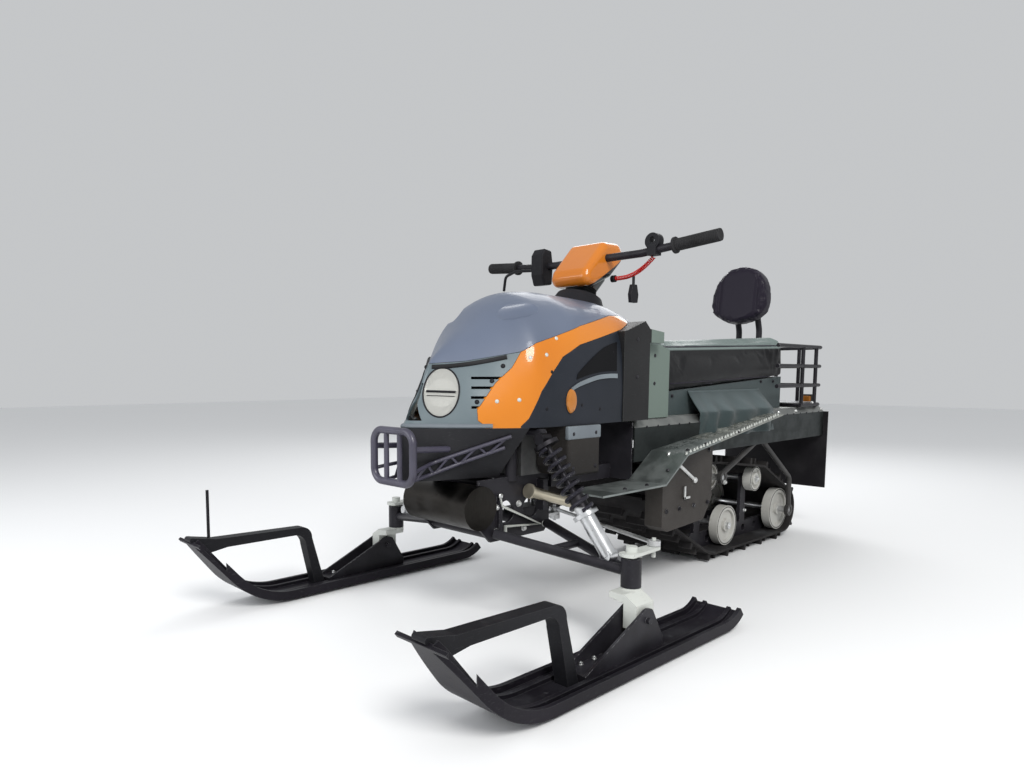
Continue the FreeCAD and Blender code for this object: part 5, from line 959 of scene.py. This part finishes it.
def makeReflector(lights, rims, side):
    place, outward = castOn(skin, (reflector["x"], side * reflector["beside"], reflector["z"]), (0, -side, 0))
    outward = outward if outward.y * side > 0 else -outward
    level = (Vector((1, 0, 0)) - outward * outward.x).normalized() * reflector["half"][0]
    upright = outward.cross(level.normalized()) * side * reflector["half"][1]
    for bm, profile in ((lights, reflector["dome"]), (rims, reflector["rim"])):
        bridge(bm, [[bm.verts.new(place + outward * (height - reflector["sunk"])
                                  + (level * math.cos(angle) + upright * math.sin(angle)) * share)
                     for angle in circle(40)] for share, height in profile])


def makeFlank():
    recesses, strips, lights, rims, pins, studs = [bmesh.new() for piece in range(6)]
    for side in (1, -1):
        skinPatch(recesses, pixelBand(skin, *flank["recess"], side), flank["lift"], flank["recessThick"])
        skinPatch(strips, pixelBand(skin, *flank["strip"], side, rows=5), flank["lift"], flank["stripThick"])
        makeReflector(lights, rims, side)
        pinsAt(studs, skin, flank["studs"], side, flank["studSize"])
        pinsAt(pins, skin, flank["pins"], side, flank["pinSize"])
    addPiece("flank_recess", recesses, "recess_black")
    addPiece("flank_strips", strips, "trim_grey")
    addPiece("reflectors", lights, "amber_lens")
    addPiece("reflector_rims", rims, "black_plastic")
    addPiece("panel_pins", pins, "black_plastic")
    addPiece("panel_studs", studs, "pale_steel")


# Nose: a black sheet behind louvres and recess, painted shade that makes the openings read dark, plugs beside
# the louvres and the pale lip over the pan.
nose = {
    "skin": ["fascia", "side_panels"],
    "shadeSheetX": 0.58, "shadeSheetLow": 0.492, "shadeSheetHigh": 0.148, "shadeSheetTurn": 84, "columns": 40, "rows": 12,
    "nearest": 0.05, "farthest": 0.24, "missed": 0.16, "behind": 0.055, "thick": 0.002,
    "plugs": [(503, 366), (492, 381), (477, 402)], "plugSize": 0.0058,
    "seal": [(432, 367), (449, 366.2), (466, 364.4), (481, 362), (494, 359.6), (507, 357)], "sealSize": 0.0058,
    "lipX": 0.62, "lipZ": 0.506, "lipTurn": 64, "lipSteps": 90, "lipSize": 0.0060, "lipFlat": 0.7,
    "before": 0.6,
}


def sweepTurn(half, steps):
    # headings from the right round the front to the left
    return [compass(math.radians(half * (2 * step / (steps - 1) - 1))) for step in range(steps)]


def makeNose():
    shadeSheet, plugs, lip, seals = [bmesh.new() for piece in range(4)]
    grid = []
    for row in range(nose["rows"]):
        middle = Vector((nose["shadeSheetX"], 0, nose["shadeSheetLow"] + row * nose["shadeSheetHigh"] / (nose["rows"] - 1)))
        line = []
        for heading in sweepTurn(nose["shadeSheetTurn"], nose["columns"]):
            hit = castOn(nose["skin"] + ["headlamps"], middle + heading * nose["before"], -heading)
            far = (hit[0] - middle).length if hit else nose["missed"]
            far = max(nose["nearest"], min(far, nose["farthest"]) - nose["behind"])
            line.append(shadeSheet.verts.new(middle + heading * far))
        grid.append(line)
    weave(shadeSheet, grid)
    for side in (1, -1):
        pinsAt(plugs, nose["skin"], nose["plugs"], side, nose["plugSize"])
        seal = [underPixel(nose["skin"], px, py) for px, py in nose["seal"]]
        sweep(seals, smoothLine([sided(hit[0], side) for hit in seal if hit], 5), nose["sealSize"])
    middle = Vector((nose["lipX"], 0, nose["lipZ"]))
    edge = [castOn(nose["skin"], middle + heading * nose["before"], -heading)
            for heading in sweepTurn(nose["lipTurn"], nose["lipSteps"])]
    sweep(lip, [hit[0] for hit in edge if hit], nose["lipSize"], flat=nose["lipFlat"])
    # painted shade: a black sheet inside the nose, seen dark through the louvres and recess
    body = addPiece("nose_shade_sheet", shadeSheet, "black_plastic", crease=180)
    body.modifiers.new("body", "SOLIDIFY").thickness = nose["thick"]
    addPiece("nose_plugs", plugs, "black_plastic")
    addPiece("hood_seal", seals, "grip_rubber")
    addPiece("nose_lip", lip, "trim_grey")


# Ribs round each grip, each centred between the places where four rays meet the grip.
grip = {"x": 0.145, "over": 1.2, "under": 0.8, "fore": 0.4, "aft": -0.1, "ribs": 25, "first": 0.006,
        "apart": 0.0046, "half": 0.0011, "inner": 0.9, "proud": 0.0008, "along": (0, 0.0003, 0.0019, 0.0022)}


def makeGrips():
    bm = bmesh.new()
    low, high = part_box("grips")
    for side in (1, -1):
        end = high[1] if side > 0 else -low[1]
        for step in range(grip["ribs"]):
            y = side * (end - grip["first"] - step * grip["apart"])
            up = castOn(["grips"], (grip["x"], y, grip["over"]), (0, 0, -1))
            down = castOn(["grips"], (grip["x"], y, grip["under"]), (0, 0, 1))
            if not (up and down):
                continue
            z = (up[0].z + down[0].z) / 2
            fore = castOn(["grips"], (grip["fore"], y, z), (-1, 0, 0))
            aft = castOn(["grips"], (grip["aft"], y, z), (1, 0, 0))
            if fore and aft:
                radius = (fore[0].x - aft[0].x) / 2
                inner, outer = radius * grip["inner"], radius + grip["proud"]
                spin(bm, ((fore[0].x + aft[0].x) / 2, y - grip["half"], z), (0, 1, 0),
                     list(zip((inner, outer, outer, inner), grip["along"])), 24)
    addPiece("grip_ribs", bm, "grip_rubber", "handlebar")


# Skis: bolts of the saddle, its pin, bolts of the handle and pale pins on the tip.
skiFitting = {
    "y": 0.465, "over": 0.5, "beside": 0.2, "floorX": (0.545, 0.590, 0.690, 0.735),
    "floorY": (-0.018, 0.018), "floorSize": 0.0062,
    "pin": (0.640, 0.096), "pinSize": 0.0115, "handle": ((1.118, 0.150), (0.800, 0.070)), "handleSize": 0.0075,
    "tipBack": 0.030, "tipY": (-0.022, 0.0, 0.022), "tipSize": 0.0065,
}


def makeSkiFittings():
    for side, body in ((1, "ski_left"), (-1, "ski_right")):
        bolts, pale = bmesh.new(), bmesh.new()
        saddle, handle = "ski_saddle" + body[3:], "ski_handle" + body[3:]
        y = side * skiFitting["y"]
        for x in skiFitting["floorX"]:
            for across in skiFitting["floorY"]:
                fasten(bolts, [body, saddle], (x, y + across, skiFitting["over"]), (0, 0, -1),
                       skiFitting["floorSize"])
        pins = [(saddle, skiFitting["pin"], skiFitting["pinSize"])]
        pins += [(handle, place, skiFitting["handleSize"]) for place in skiFitting["handle"]]
        for name, (x, z), size in pins:
            for heading in (1, -1):
                fasten(bolts, [name], (x, y + heading * skiFitting["beside"], z), (0, -heading, 0), size)
        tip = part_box(body)[1]
        for across in skiFitting["tipY"]:
            hit = castOn([body], (tip.x - skiFitting["tipBack"], y + across, skiFitting["over"]), (0, 0, -1))
            if hit:
                roundHead(pale, hit[0], hit[1] if hit[1].z > 0 else -hit[1], skiFitting["tipSize"])
        addPiece(body + "_bolts", bolts, "zinc", body)
        addPiece(body + "_tip_pins", pale, "zinc", body)


# The brace from the board down over each guard and its bracket, placed by pixels on the guard's side,
# and the toothed grip edges of the boards.
brace = {"plane": 0.256, "ends": ((669, 455), (695, 480)), "foot": (687, 492), "gap": 0.004,
         "radius": 0.0050, "flat": 0.6, "eye": [(0.009, 0), (0.009, 0.006), (0.006, 0.009)],
         "half": 0.0025, "soften": 0.001,
         "bracket": (((-0.016, -0.020), (0.016, -0.013)), ((0.008, -0.020), (0.016, 0.018)))}
teeth = {"over": 0.7, "count": 34, "fore": 0.10, "apart": 0.0205, "edge": 0.312, "scan": 0.003, "scans": 32,
         "inset": 0.0035, "half": 0.006, "high": 0.009, "thick": 0.003}


def makeBraces():
    braces, edges = bmesh.new(), bmesh.new()
    for side in (1, -1):
        y = side * (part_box("side_guards")[1][1] + brace["gap"])
        ends = [onPlane(px, py, 1, brace["plane"]) for px, py in brace["ends"]]
        line = [Vector((end.x, y, end.z)) for end in ends]
        middle = line[0].lerp(line[1], 0.5)
        sweep(braces, smoothLine([line[0], middle, line[1]], 4), brace["radius"], flat=brace["flat"])
        for end in line:
            spin(braces, end - Vector((0, side * brace["gap"], 0)), (0, side, 0), brace["eye"], 18)
        foot = onPlane(*brace["foot"], 1, brace["plane"])
        for (lowX, lowZ), (highX, highZ) in brace["bracket"]:
            block(braces, (foot.x + lowX, y - brace["half"], foot.z + lowZ),
                  (foot.x + highX, y + brace["half"], foot.z + highZ), brace["soften"])
        for step in range(teeth["count"]):
            x = teeth["fore"] - step * teeth["apart"]
            scans = [side * (teeth["edge"] - scan * teeth["scan"]) for scan in range(teeth["scans"])]
            reach = [castOn(["footboards"], (x, y, teeth["over"]), (0, 0, -1)) for y in scans]
            reach = [hit for hit in reach if hit]
            if reach:
                top = reach[0][0] - Vector((0, side * teeth["inset"], 0))
                half = Vector((teeth["half"], 0, 0))
                corners = [top - half, top + half, top + Vector((0, 0, teeth["high"]))]
                bridge(edges, [[edges.verts.new(corner + Vector((0, side * out, 0))) for corner in corners]
                               for out in (0.0, teeth["thick"])])
    addPiece("board_braces", braces, "zinc")
    addPiece("board_teeth", edges, "pale_steel")


# Bolts on the frame, boards, rack, tunnel and skid, each found on the surface it holds.
# From each side: the pieces, finish, kind, size and places in X and Z.
sideBolts = [
    (["front_frame"], "zinc", hexBolt, 0.0085,
     [(0.640, 0.300), (0.600, 0.300), (0.560, 0.300), (0.620, 0.440), (0.420, 0.300), (0.300, 0.290),
      (0.640, 0.240), (0.540, 0.235), (0.460, 0.235)]),
    (["side_guards"], "dark", hexBolt, 0.0070,
     [(x, z) for x in (-0.13, -0.05, 0.03, 0.10) for z in (0.40, 0.24)]),
    (["tunnel"], "dark", roundHead, 0.0042, [(0.12 - step * 0.058, 0.478) for step in range(22)]),
    (["skid_struts", "slide_rails", "skid_axles"], "zinc", hexBolt, 0.0078,
     [(-0.36, 0.27), (-0.62, 0.27), (-0.86, 0.12), (-0.45, 0.12), (-0.70, 0.12)]),
    (["seat_base"], "dark", hexBolt, 0.0060, [(-0.70, 0.60), (-0.80, 0.60), (-0.30, 0.56), (-0.10, 0.56)]),
    (["side_covers"], "dark", roundHead, 0.0055, [(x, z) for x in (0.400, 0.490) for z in (0.480, 0.395)]),
    (["console"], "dark", roundHead, 0.0055,
     [(0.20, 0.62), (0.20, 0.72), (0.29, 0.62), (0.29, 0.72), (0.06, 0.60), (0.06, 0.68)]),
]
# From above: the pieces, finish, size, height to look down from and places in X and Y.
topBolts = [
    (["footboards"], "dark", 0.0055, 0.7, [(0.36 - step * 0.10, 0.290) for step in range(10)]),
    (["cargo_rack", "tunnel"], "zinc", 0.0070, 0.54, [(x, 0.188) for x in (-0.75, -0.90, -1.05, -1.14)]),
    (["suspension_arms"], "zinc", 0.0070, 0.5, [(x, y) for x in (0.58, 0.52) for y in (0.44, 0.2)]),
]
# From behind, and how far beside the vehicle the rays from each side start.
flapBolts = {"x": -1.4, "z": 0.462, "across": (-0.18, -0.09, 0.0, 0.09, 0.18), "size": 0.0075}
beside = 0.5


def makeFasteners():
    made = {"zinc": bmesh.new(), "dark": bmesh.new()}
    for side in (1, -1):
        for names, finish, kind, size, places in sideBolts:
            for x, z in places:
                fasten(made[finish], names, (x, side * beside, z), (0, -side, 0), size, kind, sunk["bolt"])
        for names, finish, size, height, places in topBolts:
            for x, y in places:
                fasten(made[finish], names, (x, side * y, height), (0, 0, -1), size, depth=sunk["bolt"])
    for y in flapBolts["across"]:
        fasten(made["zinc"], ["snow_flap"], (flapBolts["x"], y, flapBolts["z"]), (1, 0, 0), flapBolts["size"],
               depth=sunk["bolt"])
    addPiece("zinc_bolts", made["zinc"], "zinc")
    addPiece("dark_bolts", made["dark"], "black_metal")


# A bearing cap and bolt in each idler and a ring on its face, at the middle of each wheel's own faces.
hub = {"least": 0.02, "capIn": 0.006, "boltOut": 0.0022, "boltSize": 0.0095,
       "cap": [(0.020, 0), (0.020, 0.0045), (0.0175, 0.006), (0.0175, 0.0045), (0.012, 0.0045),
               (0.0115, 0.0085)],
       "ring": 0.93, "ringIn": 0.0004, "ringSize": 0.0016, "weld": 0.00002}


def islandBoxes(name):
    # the box round each separate solid of a node
    bm = bmesh.new()
    bm.from_mesh(cadNodes[name].data)
    bmesh.ops.remove_doubles(bm, verts=bm.verts, dist=hub["weld"])
    seen, boxes = set(), []
    for vert in bm.verts:
        if vert in seen:
            continue
        island, wait = [], [vert]
        seen.add(vert)
        while wait:
            here = wait.pop()
            island.append(here.co)
            for edge in here.link_edges:
                other = edge.other_vert(here)
                if other not in seen:
                    seen.add(other)
                    wait.append(other)
        boxes.append([Vector([pick(ways) for ways in zip(*island)]) for pick in (min, max)])
    bm.free()
    return boxes


def makeWheelHubs():
    wheels = islandBoxes("idler_wheels")
    caps, bolts, rings = [bmesh.new() for piece in range(3)]
    for low, high in wheels:
        middle, radius = (low + high) / 2, (high.z - low.z) / 2
        if radius < hub["least"]:
            continue
        out = 1 if middle.y > 0 else -1
        face = Vector((middle.x, high.y if out > 0 else low.y, middle.z))
        outward = Vector((0, out, 0))
        inside = face - outward * hub["ringIn"]
        sweep(rings, [inside + Vector((math.cos(angle), 0, math.sin(angle))) * radius * hub["ring"]
                      for angle in circle(48)], hub["ringSize"], 6, closed=True)
        spin(caps, face - outward * hub["capIn"], outward, hub["cap"], 28)
        hexBolt(bolts, face + outward * hub["boltOut"], outward, hub["boltSize"])
    addPiece("hub_caps", caps, "zinc")
    addPiece("hub_bolts", bolts, "zinc")
    addPiece("wheel_rings", rings, "black_plastic")
    print("wheels:", len(wheels))


# The steering column's boot: a bellows from the dash up to the pod, round the column.
boot = {"axis": (-0.325568, 0, 0.945519), "through": (0.147060, 0, 0.962), "low": -0.103, "high": -0.087,
        "folds": 3, "wide": 0.046, "narrow": 0.036}


def makeBoot():
    bm = bmesh.new()
    steps = boot["folds"] * 4
    profile = []
    for step in range(steps + 1):
        share = step / steps
        ripple = (0.5 + 0.5 * math.cos(step * math.pi / 2)) * (1 - 0.3 * share)
        profile.append((boot["narrow"] + (boot["wide"] - boot["narrow"]) * ripple,
                        boot["low"] + (boot["high"] - boot["low"]) * share))
    spin(bm, boot["through"], boot["axis"], profile, 40)
    addPiece("column_boot", bm, "grip_rubber", "handlebar")


# The lamps on the flap have ribbed lenses, and the rear of the rack carries a small boxed lamp.
rear = {"x": -1.4, "ribs": 7, "inner": 0.068, "margin": 0.003, "ends": 0.005, "ribSize": 0.0016,
        "lampPixel": (808, 400), "lampX": -1.148, "lampHalf": (0.026, 0.024), "lampSoften": 0.004,
        "lampBoxes": {"housing": (0.0, 0.026), "lens": (-0.006, 0.032)}}


def makeRear():
    ribs = bmesh.new()
    low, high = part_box("tail_lamps")
    for side in (1, -1):
        inner, outer = side * rear["inner"], side * (high[1] - rear["margin"])
        middle = (inner + outer) / 2
        for step in range(rear["ribs"]):
            z = low[2] + rear["ends"] + step * (high[2] - low[2] - 2 * rear["ends"]) / (rear["ribs"] - 1)
            hit = castOn(["tail_lamps"], (rear["x"], middle, z), (1, 0, 0))
            if hit:
                sweep(ribs, [(hit[0].x, y, z) for y in (inner, middle, outer)], rear["ribSize"], 8)
    addPiece("tail_lamp_ribs", ribs, "lamp_red")
    place = onPlane(*rear["lampPixel"], 0, rear["lampX"])
    boxes = {}
    for name, (grow, depth) in rear["lampBoxes"].items():
        boxes[name] = bmesh.new()
        halfWide, halfHigh = [half + grow for half in rear["lampHalf"]]
        block(boxes[name], (place.x, place.y - halfWide, place.z - halfHigh),
              (place.x + depth, place.y + halfWide, place.z + halfHigh), rear["lampSoften"])
    addPiece("rack_lamp_case", boxes["housing"], "brown_plastic")
    addPiece("rack_lamp_lens", boxes["lens"], "amber_lens")


# Pale bracket and bolts on the front frame, as far as the photograph shows them.
bracket = {"pixels": ((500, 496), (502, 506), (503, 516), (503, 526), (503, 534)), "radius": 0.0060,
           "flat": 0.5, "headOut": 0.0025, "headSize": 0.0075}


def makeFrameBracket():
    bars, heads = bmesh.new(), bmesh.new()
    hits = [underPixel(["front_frame"], px, py) for px, py in bracket["pixels"]]
    places = [hit[0] for hit in hits if hit]
    out = max(place.y for place in places)
    for side in (1, -1):
        line = [Vector((place.x, side * out, place.z)) for place in places]
        sweep(bars, line, bracket["radius"], flat=bracket["flat"])
        for end in (line[0], line[-1]):
            roundHead(heads, end + Vector((0, side * bracket["headOut"], 0)), (0, side, 0), bracket["headSize"])
    addPiece("frame_brackets", bars, "pale_steel")
    addPiece("frame_bracket_heads", heads, "zinc")


# Pale upper edge of each side box.
sideLip = {"over": 0.0012, "inner": 0.214, "past": 0.0015, "low": 0.466, "high": 0.4995, "soften": 0.0035}


def makeSideLips():
    bm = bmesh.new()
    low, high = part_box("side_covers")
    for side in (1, -1):
        near, far = sorted((side * sideLip["inner"], side * (high[1] + sideLip["over"])))
        block(bm, (low[0] - sideLip["past"], near, sideLip["low"]),
              (high[0] + sideLip["past"], far, sideLip["high"]), sideLip["soften"])
    addPiece("side_lips", bm, "trim_grey")


makeCamera()
makeStudio()
print("camera and studio")
makeStopCord()
print("stop cord")
makeSoftGoods()
makeSkirts()
print("pads and skirts")
makeLamps()
makeFlank()
makeNose()
makeSideLips()
print("lamps, flank and nose")
makeGrips()
makeSkiFittings()
makeFasteners()
makeBraces()
makeBoot()
makeRear()
makeFrameBracket()
makeWheelHubs()
print("fittings")
